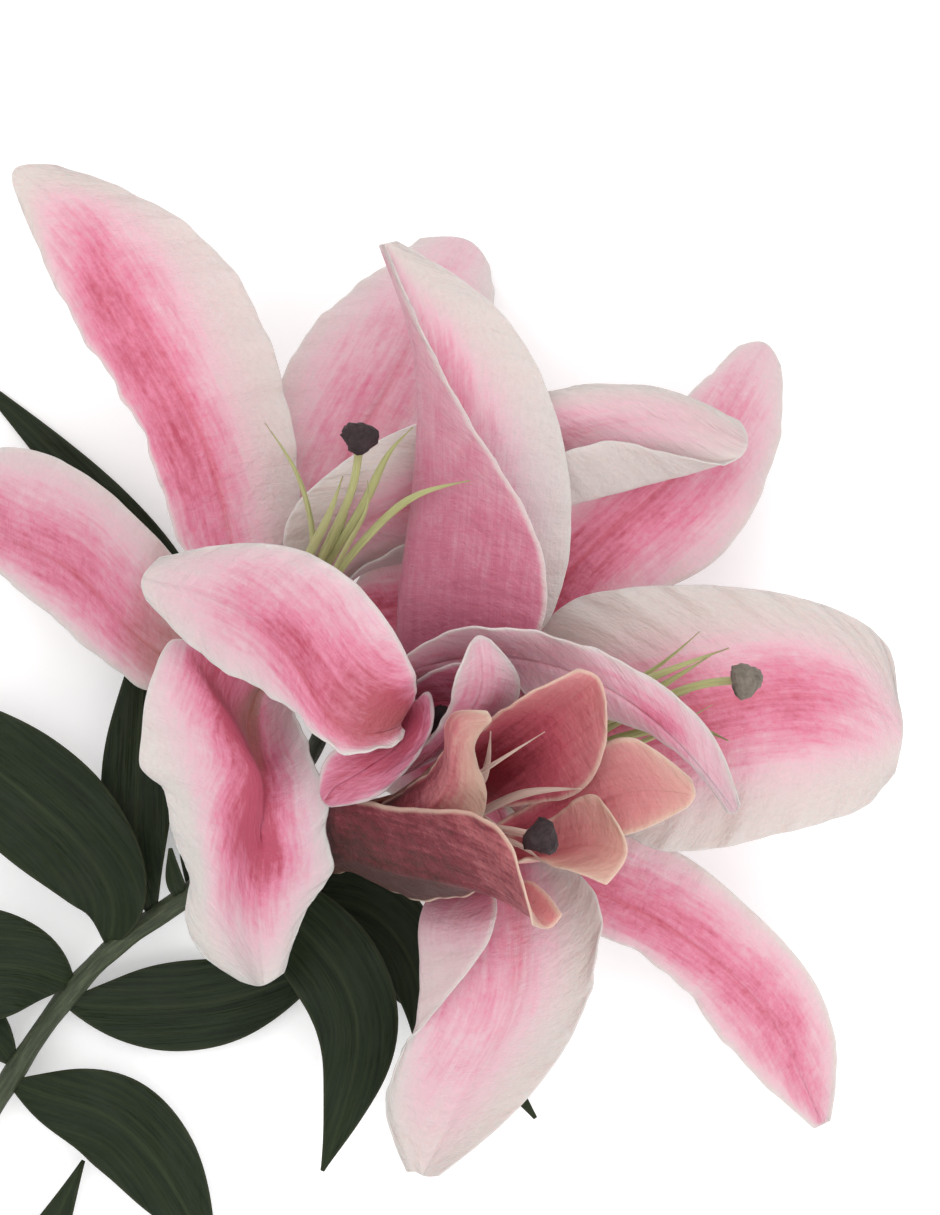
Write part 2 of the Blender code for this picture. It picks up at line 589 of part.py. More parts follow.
def stem_place(y):
    """Return the stem's centre, direction and radius where it passes a given Y."""
    stations = curve_stations(STEM_POINTS)
    radii = np.linspace(STEM_CUT_RADIUS, STEM_TOP_RADIUS, len(stations))
    k = int(np.clip(np.searchsorted(stations[:, 1], y) - 1, 0, len(stations) - 2))
    share = (y - stations[k, 1]) / (stations[k + 1, 1] - stations[k, 1])
    centre = stations[k] + (stations[k + 1] - stations[k]) * share
    return centre, unit(stations[k + 1] - stations[k]), radii[k]


def leaf_mesh(y, points, half_width):
    """Return a leaf that starts just clear of the stem and runs through points."""
    centre, along, radius = stem_place(y)
    outward = np.asarray(points[0], dtype=float) - centre
    outward = unit(outward - along * np.dot(outward, along))
    start = centre + outward * (radius + LEAF_SEAT_GAP)
    return sheet_mesh(leaf_grid([start] + list(points), half_width), LEAF_THICKNESS)


def stalk_mesh(bloom):
    """Return a bloom's stalk from the knuckle to its flared receptacle."""
    knuckle = np.asarray(STEM_POINTS[-1], dtype=float)
    way = unit(np.asarray(bloom["stalk"][0], dtype=float) - knuckle)
    start = knuckle + way * (KNUCKLE_RADIUS + SEAT_GAP)
    base, axis = bloom_frame(bloom)[:2]
    neck = base - axis * RECEPTACLE_LENGTH
    stations = curve_stations([start] + list(bloom["stalk"]) + [neck])
    radii = [STALK_RADIUS] * len(stations)
    flare = [neck + axis * RECEPTACLE_LENGTH * share for share, radius in RECEPTACLE_STATIONS]
    radii += [radius for share, radius in RECEPTACLE_STATIONS]
    return tube_mesh(np.concatenate((stations, flare)), radii)


def pistil_mesh(bloom):
    """Return the ovary, the style and the stigma as one tube of changing radius."""
    base, axis = bloom_frame(bloom)[:2]
    ovary = [base + axis * height for height in (OVARY_FOOT, OVARY_LENGTH)]
    stations = smooth_curve(ovary + list(bloom["style"]), OVARY_STATIONS + STYLE_STATIONS - 1)
    radii = [OVARY_RADIUS] * OVARY_STATIONS + [STYLE_RADIUS] * STYLE_STATIONS
    way = unit(stations[-1] - stations[-2])
    ball = [stations[-1] + way * STIGMA_LENGTH * share for share, swell in STIGMA_STATIONS]
    radii += [STIGMA_RADIUS * swell for share, swell in STIGMA_STATIONS]
    return tube_mesh(np.concatenate((stations, ball)), radii)


def ring_points(bloom):
    """Return the corners of the stamens' ring: bottom and top, inner and outer, all round."""
    corners = []
    for k in range(2 * STAMENS):
        turn = bloom["turn"] + (k - 0.5) * 180 / STAMENS
        for height in (SEAT_GAP, SEAT_GAP + STAMEN_RING_HEIGHT):
            for radius in STAMEN_RING_RADII:
                corners.append(in_bloom(bloom, height, radius, turn))
    return corners


def stamens_mesh(bloom):
    """Return the six filaments, which grow from every other top face of a small ring."""
    vertices = ring_points(bloom)
    faces = []
    count = 2 * STAMENS
    for k in range(count):
        low_in, low_out, high_in, high_out = (4 * k + j for j in range(4))
        next_in, next_out, next_high_in, next_high_out = (4 * ((k + 1) % count) + j for j in range(4))
        faces.append((low_in, next_in, next_out, low_out))
        faces.append((low_out, next_out, next_high_out, high_out))
        faces.append((next_in, low_in, high_in, next_high_in))
        top = (high_in, high_out, next_high_out, next_high_in)
        if k % 2:
            faces.append(top)
        else:
            add_filament(vertices, faces, top, bloom, k // 2)
    return vertices, faces


def add_filament(vertices, faces, foot, bloom, number):
    """Grow one flat filament from a face of the ring, and close its end."""
    turn = bloom["turn"] + number * 360 / STAMENS
    start = np.mean([vertices[k] for k in foot], axis=0)
    rise = in_bloom(bloom, OVARY_LENGTH, FILAMENT_SPREAD, turn)
    path = smooth_curve([start, rise] + list(bloom["filaments"][number]), FILAMENT_STATIONS)
    outward = unit(np.asarray(vertices[foot[1]]) - vertices[foot[0]])
    ring = list(foot)
    for point, way in list(zip(path, np.gradient(path, axis=0)))[1:]:
        outward = unit(outward - way * np.dot(outward, way) / np.dot(way, way))
        aside = unit(np.cross(way, outward)) * FILAMENT_HALF_WIDTH
        depth = outward * FILAMENT_HALF_THICKNESS
        first = len(vertices)
        vertices += [point - depth - aside, point + depth - aside]
        vertices += [point + depth + aside, point - depth + aside]
        for j in range(4):
            faces.append((ring[j], ring[(j + 1) % 4], first + (j + 1) % 4, first + j))
        ring = list(range(first, first + 4))
    faces.append(tuple(ring))


def paint(piece, colour, roughness):
    """Give a piece its own plain material."""
    material = bpy.data.materials.new(piece.name)
    material.use_nodes = True
    shader = material.node_tree.nodes["Principled BSDF"]
    shader.inputs["Base Color"].default_value = (*colour, 1.0)
    shader.inputs["Roughness"].default_value = roughness
    shader.inputs["Metallic"].default_value = 0.0
    piece.data.materials.append(material)


def add_piece(name, mesh_parts, colour, roughness, spray):
    """Make one named object from points in millimetres and faces, and hang it on the spray."""
    points, faces = mesh_parts
    middle = np.array((*MIDDLE, 0.0))
    mesh = bpy.data.meshes.new(name)
    mesh.from_pydata([tuple((np.asarray(point) - middle) * MM) for point in points], [], faces)
    mesh.shade_smooth()
    piece = bpy.data.objects.new(name, mesh)
    piece.parent = spray
    bpy.context.scene.collection.objects.link(piece)
    paint(piece, colour, roughness)


def lower_leaf_points(y, side):
    """Return the midrib of a leaf low on the stem, on side 1 for the right and -1 for the left."""
    centre, along = stem_place(y)[:2]
    along = unit((along[0], along[1], 0.0))
    aside = np.cross(along, (0, 0, side))
    up = np.array((0.0, 0.0, 1.0))
    return [centre + aside * x + along * forward + up * rise for x, forward, rise in LOWER_LEAF_OFFSETS]


def build():
    """Clear the scene and make the whole spray."""
    for old in list(bpy.data.objects):
        bpy.data.objects.remove(old)
    spray = bpy.data.objects.new("spray", None)
    bpy.context.scene.collection.objects.link(spray)
    add_piece("main_stem", stem_mesh(), STEM_GREEN, STEM_ROUGHNESS, spray)
    for name, bloom in BLOOMS.items():
        add_piece(f"{name}_stalk", stalk_mesh(bloom), STEM_GREEN, STEM_ROUGHNESS, spray)
        add_piece(f"{name}_pistil", pistil_mesh(bloom), PISTIL_GREEN, SOFT_ROUGHNESS, spray)
        add_piece(f"{name}_stamens", stamens_mesh(bloom), FILAMENT_GREEN, SOFT_ROUGHNESS, spray)
    for name, petal in PETALS.items():
        colour = DUSTY_PINK if petal["bloom"] == "front" else PINK
        add_piece(name, sheet_mesh(petal_grid(petal), PETAL_THICKNESS), colour, SOFT_ROUGHNESS, spray)
    for name, (y, points, half_width) in UPPER_LEAVES.items():
        add_piece(name, leaf_mesh(y, points, half_width), LEAF_GREEN, SOFT_ROUGHNESS, spray)
    for number, y in enumerate(LOWER_LEAF_YS):
        points = lower_leaf_points(y, 1 if number % 2 else -1)
        leaf = leaf_mesh(y, points, LOWER_LEAF_HALF_WIDTH)
        add_piece(f"leaf_lower_{number + 1}", leaf, LEAF_GREEN, SOFT_ROUGHNESS, spray)


build()
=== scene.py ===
import math

import bpy
import mathutils
import numpy as np
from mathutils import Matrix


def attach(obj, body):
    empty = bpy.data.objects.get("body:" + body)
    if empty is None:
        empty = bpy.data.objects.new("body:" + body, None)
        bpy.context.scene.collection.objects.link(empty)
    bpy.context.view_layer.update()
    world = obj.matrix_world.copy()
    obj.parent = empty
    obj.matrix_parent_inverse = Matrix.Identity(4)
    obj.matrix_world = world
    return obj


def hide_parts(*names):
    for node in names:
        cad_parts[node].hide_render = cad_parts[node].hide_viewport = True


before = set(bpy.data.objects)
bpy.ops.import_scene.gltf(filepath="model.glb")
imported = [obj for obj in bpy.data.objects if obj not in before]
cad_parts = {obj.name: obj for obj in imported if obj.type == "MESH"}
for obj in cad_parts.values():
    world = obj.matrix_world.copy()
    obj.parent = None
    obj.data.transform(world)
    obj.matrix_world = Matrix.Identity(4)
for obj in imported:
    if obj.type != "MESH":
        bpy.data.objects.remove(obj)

MM = 0.001
MIDDLE = np.array((-59.0, -223.0, 0.0))
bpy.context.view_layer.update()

# The funnel that the claws form round a bloom's axis.
CLAW_FOOT = 0.7
PETAL_FOOT_RADIUS = 5.0
PETAL_FLARE = 0.17
SEPAL_FOOT_RADIUS = 7.6
SEPAL_FLARE = 0.23
PETAL_CLAW_HALF_ANGLE = 34.0
SEPAL_CLAW_HALF_ANGLE = 30.0
WHORL_STEP = 60.0

# Receptacle, pistil and stamens.
RECEPTACLE_RADIUS = 8.8
RECEPTACLE_LENGTH = 9.0
STALK_RADIUS = 2.1
OVARY_FOOT = 0.6
OVARY_RADIUS = 1.8
OVARY_LENGTH = 16.0
STYLE_RADIUS = 1.0
STYLE_LOBE_DEPTH = 0.12
STYLE_END_SWELL = 1.4
PISTIL_LOBES = 3
STIGMA_RADIUS = 4.2
STIGMA_LENGTH = 7.0
STIGMA_SUNK = 0.06
STIGMA_END_SHARE = 0.15
STIGMA_LOBE_DEPTH = 0.16
STIGMA_BUMPS = 0.13
STAMEN_RING_RADII = (2.4, 3.8)
STAMENS = 6
FILAMENT_FOOT = 0.3
FILAMENT_HALF_WIDTH = 1.25
FILAMENT_FLATNESS = 0.55
FILAMENT_TAPER = 4.5
FILAMENT_TIP_SHARE = 0.12
FILAMENT_SPREAD = 4.4

# The main stem, from its cut end to the knuckle where the flower stalks part.
STEM_POINTS = (
    (-190, -556, 3.2), (-190, -480, 3.2), (-188, -400, 3.3), (-183, -320, 3.4), (-172, -250, 3.8),
    (-155, -195, 5), (-135, -150, 7), (-118, -120, 10), (-103, -99, 13), (-91, -87, 16),
    (-74, -75, 19), (-56, -60, 22),
)
STEM_CUT_RADIUS = 3.2
STEM_TOP_RADIUS = 2.5
KNUCKLE_RADIUS = 4.6

# The end of the knuckle: how far on each ring is and how wide, as shares of its radius. Then its neck,
# the bevel of the cut, the joints under the leaves and the ribs of the flower stalks.
KNUCKLE_END = ((0.25, 0.97), (0.6, 0.8), (0.85, 0.53), (1.0, 0.15))
KNUCKLE_NECK = 1.25
CUT_BEVEL = 0.1
STEM_JOINT_SWELL = 0.14
STEM_JOINT_REACH = 3.0
STALK_RIBS = 6
STALK_RIB_DEPTH = 0.03

# Each bloom: the point on its receptacle where the claws stand, the way its axis points, the way
# from which turns round the axis are counted, the turn of its first petal in degrees, the points
# of its stalk, the points of its style and the points of its six filaments, in order of turn.
BLOOMS = {
    "upper": {
        "base": (-51, -14, 42), "axis": (0.33, 0.42, 0.845), "zero": (1, 0, 0), "turn": 20,
        "stalk": ((-58, -50, 23), (-58, -34, 29)),
        "style": ((-39, 8, 77), (-33, 20, 92), (-29, 29, 102), (-27, 39, 112)),
        "filaments": (
            ((-34, 7, 79), (-23, 20, 88), (-12, 28, 98), (0, 31, 104)),
            ((-33, 15, 77), (-25, 28, 88), (-19, 39, 100), (-14, 44, 105)),
            ((-36, 13, 76), (-31, 22, 82), (-30, 27, 87)),
            ((-39, 15, 84), (-40, 25, 93), (-43, 34, 101), (-50, 45, 108)),
            ((-42, 8, 80), (-35, 22, 98), (-31, 32, 108)),
            ((-35, 6, 80), (-28, 19, 95), (-25, 26, 102), (-25, 31, 105)),
        ),
    },
    "right": {
        "base": (3, -47, 26), "axis": (0.42, 0.26, 0.87), "zero": (1, 0, 0), "turn": 0,
        "stalk": ((-46, -60, 20), (-28, -57, 15), (-12, -53, 15)),
        "style": ((28, -34, 60), (45, -24, 73), (58, -19, 82), (66, -18, 90)),
        "filaments": (
            ((34, -34, 59), (55, -30, 72), (64, -33, 84)),
            ((34, -28, 59), (49, -19, 68), (60, -12, 73)),
            ((28, -25, 60), (45, -16, 70), (57, -6, 80)),
            ((25, -29, 62), (44, -18, 77), (64, -10, 88)),
            ((22, -33, 62), (41, -26, 79), (54, -21, 88)),
            ((28, -39, 60), (44, -33, 75), (60, -24, 86)),
        ),
    },
    "front": {
        "base": (-37, -59, 52), "axis": (0.69, 0.13, 0.71), "zero": (0, 1, 0), "turn": -30,
        "stalk": ((-52, -64, 28), (-48, -62, 38)),
        "style": ((-10, -55, 82), (1, -54, 98), (9, -54, 112), (16, -55, 128)),
        "filaments": (
            ((-5, -48, 84), (3, -42, 102), (5, -30, 118)),
            ((-9, -48, 90), (0, -42, 106), (18, -30, 124)),
            ((-10, -54, 88), (0, -50, 103), (8, -54, 114)),
            ((-6, -58, 86), (5, -56, 101), (11, -58, 114)),
            ((-4, -60, 84), (8, -57, 98), (18, -62, 112)),
            ((-2, -53, 80), (12, -46, 98), (27, -44, 114)),
        ),
    },
    "middle": {
        "base": (-30, -27, 78), "axis": (0.7, -0.05, 0.71), "zero": (0, 1, 0), "turn": 60,
        "stalk": ((-49, -53, 30), (-43, -42, 48), (-38, -33, 62)),
        "style": ((-14, -28, 90), (-10, -28, 90)),
        "filaments": (
            ((-18, -26, 93), (-15, -26, 94)),
            ((-18, -29, 92), (-15, -29, 92)),
            ((-16, -32, 89), (-14, -32, 89)),
            ((-13, -30, 86), (-12, -30, 86)),
            ((-13, -26, 87), (-11, -26, 87)),
            ((-15, -23, 90), (-13, -23, 90)),
        ),
    },
}

# Each petal: its bloom, its place in the whorl (even places are petals, odd ones sepals), how far its
# claw reaches up the axis and its guides beyond the claw.
PETALS = {
    # Reaches to the right, with its lower margin rolled up.
    "upper_petal_right": {
        "bloom": "upper", "place": 0, "claw": 20,
        "left": ((-46, 19, 80), (-23, 41, 82), (2, 50, 76), (28, 55, 69), (54, 53, 59), (68, 47, 54)),
        "mid": ((-32, 16, 70), (-12, 27, 74), (10, 38, 71), (34, 45, 67), (56, 46, 58), (70, 42, 53)),
        "crest": ((-31, 6, 60), (-10, 13, 64), (14, 22, 66), (36, 29, 63), (55, 34, 56), (68, 38, 52)),
        "right": ((-30, 7, 66), (-10, 18, 74), (12, 32, 78), (32, 41, 75), (52, 38, 64), (64, 36, 55)),
    },
    # Behind, with its tip down on the surface.
    "upper_sepal_top": {
        "bloom": "upper", "place": 1, "claw": 18,
        "left": ((-49, 27, 62), (-49, 50, 59), (-40, 71, 46), (-23, 87, 27), (-13, 96, 6)),
        "mid": ((-38, 20, 58), (-26, 46, 56), (-14, 68, 46), (-7, 85, 25), (-1, 96, 1)),
        "right": ((-27, 17, 52), (-8, 40, 52), (3, 62, 41), (6, 79, 22), (5, 89, 5)),
    },
    # The longest petal, up to the left.
    "upper_petal_left": {
        "bloom": "upper", "place": 2, "claw": 16,
        "left": (
            (-64, 4, 64), (-75, 24, 76), (-82, 45, 81),
            (-95, 66, 82), (-107, 89, 80), (-112, 101, 79),
        ),
        "mid": ((-55, 4, 66), (-63, 32, 79), (-72, 54, 85), (-85, 77, 86), (-99, 97, 82), (-113, 109, 78)),
        "right": (
            (-43, 12, 66), (-43, 33, 72), (-48, 60, 78),
            (-61, 86, 80), (-84, 103, 79), (-103, 110, 77),
        ),
    },
    # Hangs down to the left, with its tip on the surface.
    "upper_sepal_left": {
        "bloom": "upper", "place": 3, "claw": 7,
        "left": ((-64, -21, 54), (-88, -17, 51), (-104, -4, 46), (-122, 10, 28), (-139, 31, 1)),
        "mid": ((-61, -15, 56), (-82, -9, 55), (-98, 7, 47), (-118, 18, 29), (-138, 33, 1)),
        "right": ((-65, 2, 50), (-83, 21, 49), (-100, 35, 40), (-119, 41, 25), (-137, 35, 1)),
    },
    # Bends over the stem, with a high lobe on its left.
    "upper_petal_down": {
        "bloom": "upper", "place": 4, "claw": 12,
        "left": (
            (-45, -21, 72), (-42, -30, 80), (-38, -40, 84), (-35, -48, 85), (-36, -55, 82),
            (-34, -64, 78), (-38, -71, 72), (-43, -80, 65), (-47, -92, 57),
        ),
        "mid": (
            (-52, -19, 66), (-55, -26, 68), (-55, -33, 73), (-53, -40, 79),
            (-52, -50, 82), (-52, -60, 79), (-53, -70, 73), (-53, -83, 64), (-52, -95, 57),
        ),
        "crest": (
            (-59, -13, 80), (-67, -15, 90), (-64, -22, 91), (-61, -30, 89), (-57, -38, 86),
            (-60, -50, 84), (-62, -62, 79), (-63, -74, 72), (-61, -86, 63), (-55, -95, 57),
        ),
        "right": (
            (-61, -11, 79), (-73, -8, 87), (-77, -14, 92), (-80, -24, 92), (-81, -33, 89), (-81, -40, 86),
            (-76, -45, 83), (-74, -56, 79), (-70, -66, 74), (-71, -77, 69), (-67, -87, 63), (-58, -94, 57),
        ),
    },
    # Under the other blooms.
    "upper_sepal_under": {
        "bloom": "upper", "place": 5, "claw": 12,
        "left": ((-31, 2, 56), (-21, 14, 58), (-8, 18, 57), (0, 12, 53), (4, 2, 50)),
        "mid": ((-32, -3, 56), (-20, 0, 58), (-9, 1, 57), (-1, 0, 54), (5, 0, 50)),
        "right": ((-32, -12, 52), (-22, -13, 52), (-11, -12, 51), (-2, -8, 49), (4, -3, 49)),
    },
    # Broad, to the right.
    "right_petal_side": {
        "bloom": "right", "place": 0, "claw": 20,
        "left": (
            (17, -14, 54), (21, -2, 60), (43, 5, 65), (74, 4, 66),
            (97, -3, 59), (106, -11, 52), (108, -22, 47),
        ),
        "mid": ((28, -32, 50), (46, -27, 61), (68, -23, 64), (88, -22, 60), (101, -26, 52), (110, -31, 44)),
        "right": (
            (27, -42, 50), (40, -57, 57), (64, -60, 60),
            (85, -55, 58), (100, -50, 50), (108, -42, 43),
        ),
    },
    # To the upper right, with its tip on the surface.
    "right_sepal_top": {
        "bloom": "right", "place": 1, "claw": 18,
        "left": ((8, -8, 44), (17, 17, 49), (34, 36, 47), (51, 50, 37), (64, 62, 15), (70, 68, 3)),
        "mid": ((13, -18, 44), (26, 10, 50), (41, 24, 49), (55, 37, 41), (68, 55, 23), (77, 69, 1)),
        "right": ((23, -8, 46), (41, 2, 50), (62, 12, 45), (76, 33, 31), (81, 52, 13), (81, 63, 3)),
    },
    # Folded along its keel.
    "right_petal_top": {
        "bloom": "right", "place": 2, "claw": 14,
        "left": ((0, -28, 66), (17, -6, 90), (17, 15, 99), (2, 42, 104), (-10, 64, 102), (-21, 89, 96)),
        "mid": ((-10, -28, 62), (-17, -4, 77), (-14, 22, 87), (-12, 44, 93), (-13, 66, 96), (-22, 89, 95)),
        "right": ((8, -23, 54), (20, -2, 68), (25, 23, 76), (21, 48, 83), (9, 71, 87), (-18, 90, 93)),
    },
    # Short, curled under the front bloom.
    "right_sepal_under": {
        "bloom": "right", "place": 3, "claw": 8,
        "left": ((-2, -49, 48), (-13, -50, 48), (-22, -46, 41), (-26, -42, 31)),
        "mid": ((-2, -39, 50), (-13, -36, 49), (-21, -33, 41), (-27, -35, 30)),
        "right": ((0, -27, 48), (-11, -24, 47), (-20, -24, 40), (-26, -28, 31)),
    },
    # Towards the stem, with one margin rolled over.
    "right_petal_down": {
        "bloom": "right", "place": 4, "claw": 14,
        "left": (
            (18, -61, 57), (31, -71, 70), (31, -91, 71),
            (23, -112, 59), (8, -131, 47), (-8, -145, 37),
        ),
        "mid": (
            (10, -60, 50), (12, -79, 64), (11, -98, 65),
            (3, -116, 54), (-6, -133, 43), (-12, -145, 36),
        ),
        "crest": (
            (-1, -61, 49), (-12, -78, 67), (-12, -98, 67),
            (-15, -117, 55), (-17, -131, 44), (-14, -144, 37),
        ),
        "right": (
            (3, -60, 55), (6, -79, 75), (-4, -95, 72),
            (-17, -112, 61), (-21, -128, 48), (-16, -144, 37),
        ),
    },
    # To the lower right, with its tip on the surface.
    "right_sepal_down": {
        "bloom": "right", "place": 5, "claw": 8,
        "left": ((23, -54, 46), (48, -60, 53), (68, -74, 48), (88, -96, 31), (95, -119, 12), (94, -134, 1)),
        "mid": ((13, -60, 44), (39, -75, 52), (60, -88, 46), (76, -104, 30), (86, -122, 12), (92, -135, 1)),
        "right": (
            (10, -67, 42), (30, -82, 48), (48, -91, 43),
            (62, -107, 29), (77, -124, 12), (90, -136, 1),
        ),
    },
    # Upper petal of the half-open bloom.
    "front_petal_top": {
        "bloom": "front", "place": 0, "claw": 16,
        "left": ((-18, -46, 74), (-8, -38, 88), (0, -32, 99), (8, -25, 112), (16, -20, 119), (26, -15, 118)),
        "mid": ((-15, -52, 66), (0, -42, 83), (14, -31, 97), (25, -22, 108), (31, -17, 116)),
        "right": ((-13, -56, 62), (6, -50, 78), (27, -45, 94), (33, -33, 105), (33, -23, 113)),
    },
    "front_sepal_top": {
        "bloom": "front", "place": 1, "claw": 8,
        "left": (
            (-30, -48, 73), (-18, -40, 90), (-10, -32, 98),
            (-5, -24, 109), (-3, -16, 118), (0, -9, 117),
        ),
        "mid": ((-27, -46, 69), (-12, -38, 85), (-3, -29, 97), (3, -18, 109), (2, -7, 112)),
        "right": ((-22, -44, 63), (-6, -36, 79), (8, -27, 94), (12, -18, 104), (5, -8, 111)),
    },
    # Nearest the eye of someone who looks down, and seen from outside.
    "front_petal_left": {
        "bloom": "front", "place": 2, "claw": 12,
        "left": (
            (-22, -65, 67), (-9, -63, 82), (-1, -59, 98), (3, -51, 112),
            (3, -41, 122), (1, -33, 127), (4, -28, 128),
        ),
        "mid": (
            (-30, -59, 72), (-18, -54, 94), (-8, -47, 113),
            (-4, -37, 126), (-2, -28, 133), (5, -27, 130),
        ),
        "right": (
            (-30, -53, 71), (-19, -47, 90), (-11, -41, 105),
            (-6, -33, 119), (-3, -25, 130), (4, -25, 131),
        ),
    },
    # Lower sepal, seen from outside, with its lip rolled out.
    "front_sepal_left": {
        "bloom": "front", "place": 3, "claw": 4,
        "left": ((-31, -66, 60), (-18, -71, 78), (0, -70, 98), (15, -67, 114), (22, -74, 127)),
        "mid": ((-33, -63, 72), (-20, -64, 93), (-6, -66, 110), (8, -70, 121), (19, -77, 128)),
        "right": ((-36, -49, 79), (-24, -48, 97), (-9, -49, 117), (7, -53, 136), (15, -76, 132)),
    },
    # Lower petal with a broad lip.
    "front_petal_down": {
        "bloom": "front", "place": 4, "claw": 14,
        "left": ((-10, -63, 62), (6, -58, 78), (20, -52, 91), (30, -46, 103), (36, -53, 112)),
        "mid": ((-11, -66, 62), (4, -63, 78), (18, -61, 92), (29, -58, 103), (38, -60, 113)),
        "right": (
            (-13, -68, 64), (0, -66, 82), (10, -62, 98),
            (18, -62, 108), (25, -64, 114), (33, -67, 117),
        ),
    },
    "front_sepal_right": {
        "bloom": "front", "place": 5, "claw": 14,
        "left": ((-10, -57, 60), (10, -52, 76), (25, -41, 89), (38, -32, 101), (54, -42, 100)),
        "mid": ((-10, -60, 58), (12, -57, 74), (29, -49, 88), (42, -45, 96), (55, -46, 100)),
        "right": ((-10, -62, 58), (12, -61, 72), (28, -58, 86), (41, -55, 94), (53, -49, 99)),
    },
    # Bent right back over the upper bloom.
    "middle_petal_left": {
        "bloom": "middle", "place": 0, "claw": 12,
        "left": ((-17, -32, 114), (-29, -35, 122), (-44, -24, 120), (-60, -15, 112), (-79, 2, 104)),
        "mid": ((-18, -29, 112), (-28, -30, 120), (-42, -14, 123), (-60, 1, 114), (-80, 7, 103)),
        "right": ((-13, -21, 112), (-19, -5, 126), (-37, 12, 125), (-60, 15, 114), (-76, 12, 104)),
    },
    # Short, bent back.
    "middle_sepal_left": {
        "bloom": "middle", "place": 1, "claw": 12,
        "left": (
            (-18, -31, 97), (-10, -21, 101), (-9, -26, 103), (-10, -31, 104), (-12, -35, 104),
            (-16, -40, 103), (-21, -45, 101), (-28, -48, 98), (-34, -49, 93),
        ),
        "mid": (
            (-17, -29, 101), (-17, -33, 106), (-22, -37, 107),
            (-28, -41, 104), (-33, -44, 99), (-36, -48, 93),
        ),
        "right": (
            (-26, -34, 97), (-24, -35, 102), (-27, -34, 106),
            (-33, -35, 105), (-36, -39, 101), (-37, -45, 94),
        ),
    },
    # Small, bent back under the one before it.
    "middle_petal_down": {
        "bloom": "middle", "place": 2, "claw": 6,
        "left": ((-26, -38, 81), (-31, -42, 79), (-36, -43, 77)),
        "mid": ((-26, -37, 83), (-32, -41, 81), (-36, -42, 79)),
        "right": ((-27, -35, 85), (-32, -38, 83), (-36, -40, 80)),
    },
    # Small, under the bloom.
    "middle_sepal_down": {
        "bloom": "middle", "place": 3, "claw": 10,
        "left": ((-13, -26, 78), (-14, -23, 72), (-20, -22, 67)),
        "mid": ((-15, -29, 77), (-16, -27, 70), (-21, -24, 65)),
        "right": ((-18, -32, 77), (-19, -30, 70), (-22, -26, 65)),
    },
    # On the far side.
    "middle_petal_right": {
        "bloom": "middle", "place": 4, "claw": 14,
        "left": ((-14, -19, 91), (-5, -14, 98), (8, -17, 95), (18, -25, 89), (28, -31, 81), (40, -36, 77)),
        "mid": ((-5, -23, 84), (8, -25, 82), (22, -30, 78), (42, -38, 75)),
        "right": ((-4, -27, 80), (8, -32, 76), (24, -38, 73), (40, -41, 74)),
    },
    # Long, over the right bloom.
    "middle_sepal_right": {
        "bloom": "middle", "place": 5, "claw": 14,
        "left": ((-13, -10, 98), (0, -5, 106), (20, -7, 104), (42, -16, 98), (60, -32, 88), (67, -49, 79)),
        "mid": ((-5, -13, 91), (14, -13, 91), (34, -20, 94), (52, -34, 88), (66, -51, 78)),
        "right": ((0, -20, 85), (18, -23, 84), (36, -28, 88), (52, -36, 86), (64, -51, 78)),
    },
}

# Each leaf by the flowers: the Y on the stem where it starts, the points of its midrib and its
# greatest half width.
UPPER_LEAVES = {
    "leaf_top_left": (-73, ((-72, -61, 11), (-70, -30, 8), (-76, -3, 8), (-106, 38, 5), (-131, 62, 1)), 9),
    "leaf_bract_top": (-69, ((-63, -58, 33), (-58, -46, 43), (-53, -31, 49)), 5),
    "leaf_upright": (-80, ((-85, -68, 19), (-86, -45, 19), (-85, -24, 18), (-84, -3, 16)), 9.5),
    "leaf_bract_side": (-75, ((-76, -70, 25), (-77, -62, 27)), 2.5),
    "leaf_left": (
        -88, ((-92, -75, 25), (-101, -60, 28), (-118, -45, 25), (-138, -31, 18), (-158, -19, 6)),
        16,
    ),
    "leaf_left_low": (-98, ((-114, -93, 21), (-130, -92, 22), (-148, -92, 15), (-168, -95, 4)), 16),
    "leaf_under_left": (-102, ((-94, -104, 8), (-78, -104, 5), (-62, -102, 4), (-34, -91, 3)), 12),
    "leaf_middle": (
        -70, ((-52, -76, 29), (-36, -90, 34), (-29, -106, 33), (-31, -124, 29), (-38, -145, 24)),
        12,
    ),
    "leaf_middle_right": (-71, ((-54, -76, 17), (-30, -77, 16), (-15, -92, 17), (-13, -117, 14)), 12),
    "leaf_low_right": (-75, ((-60, -80, 11), (-30, -86, 7), (-5, -105, 7), (17, -133, 5)), 9),
    "leaf_bottom": (-123, ((-109, -127, 12), (-94, -132, 13), (-80, -146, 12), (-66, -172, 8)), 12.5),
    "leaf_bottom_left": (-119, ((-128, -108, 9), (-143, -104, 6), (-158, -106, 3)), 8),
}

# The leaves lower down the stem: one more on the other side at each step, alike but for their side.
LOWER_LEAF_YS = (-480, -440, -400, -360, -320, -275, -225)
LOWER_LEAF_OFFSETS = ((13, 4, 3), (25, 31, 7), (33, 64, 5), (38, 96, -2))
LOWER_LEAF_HALF_WIDTH = 10.5

# Where each guide of a petal stands across it.
GUIDE_PLACES = {"left": -1.0, "mid": 0.0, "crest": 0.6, "right": 1.0}

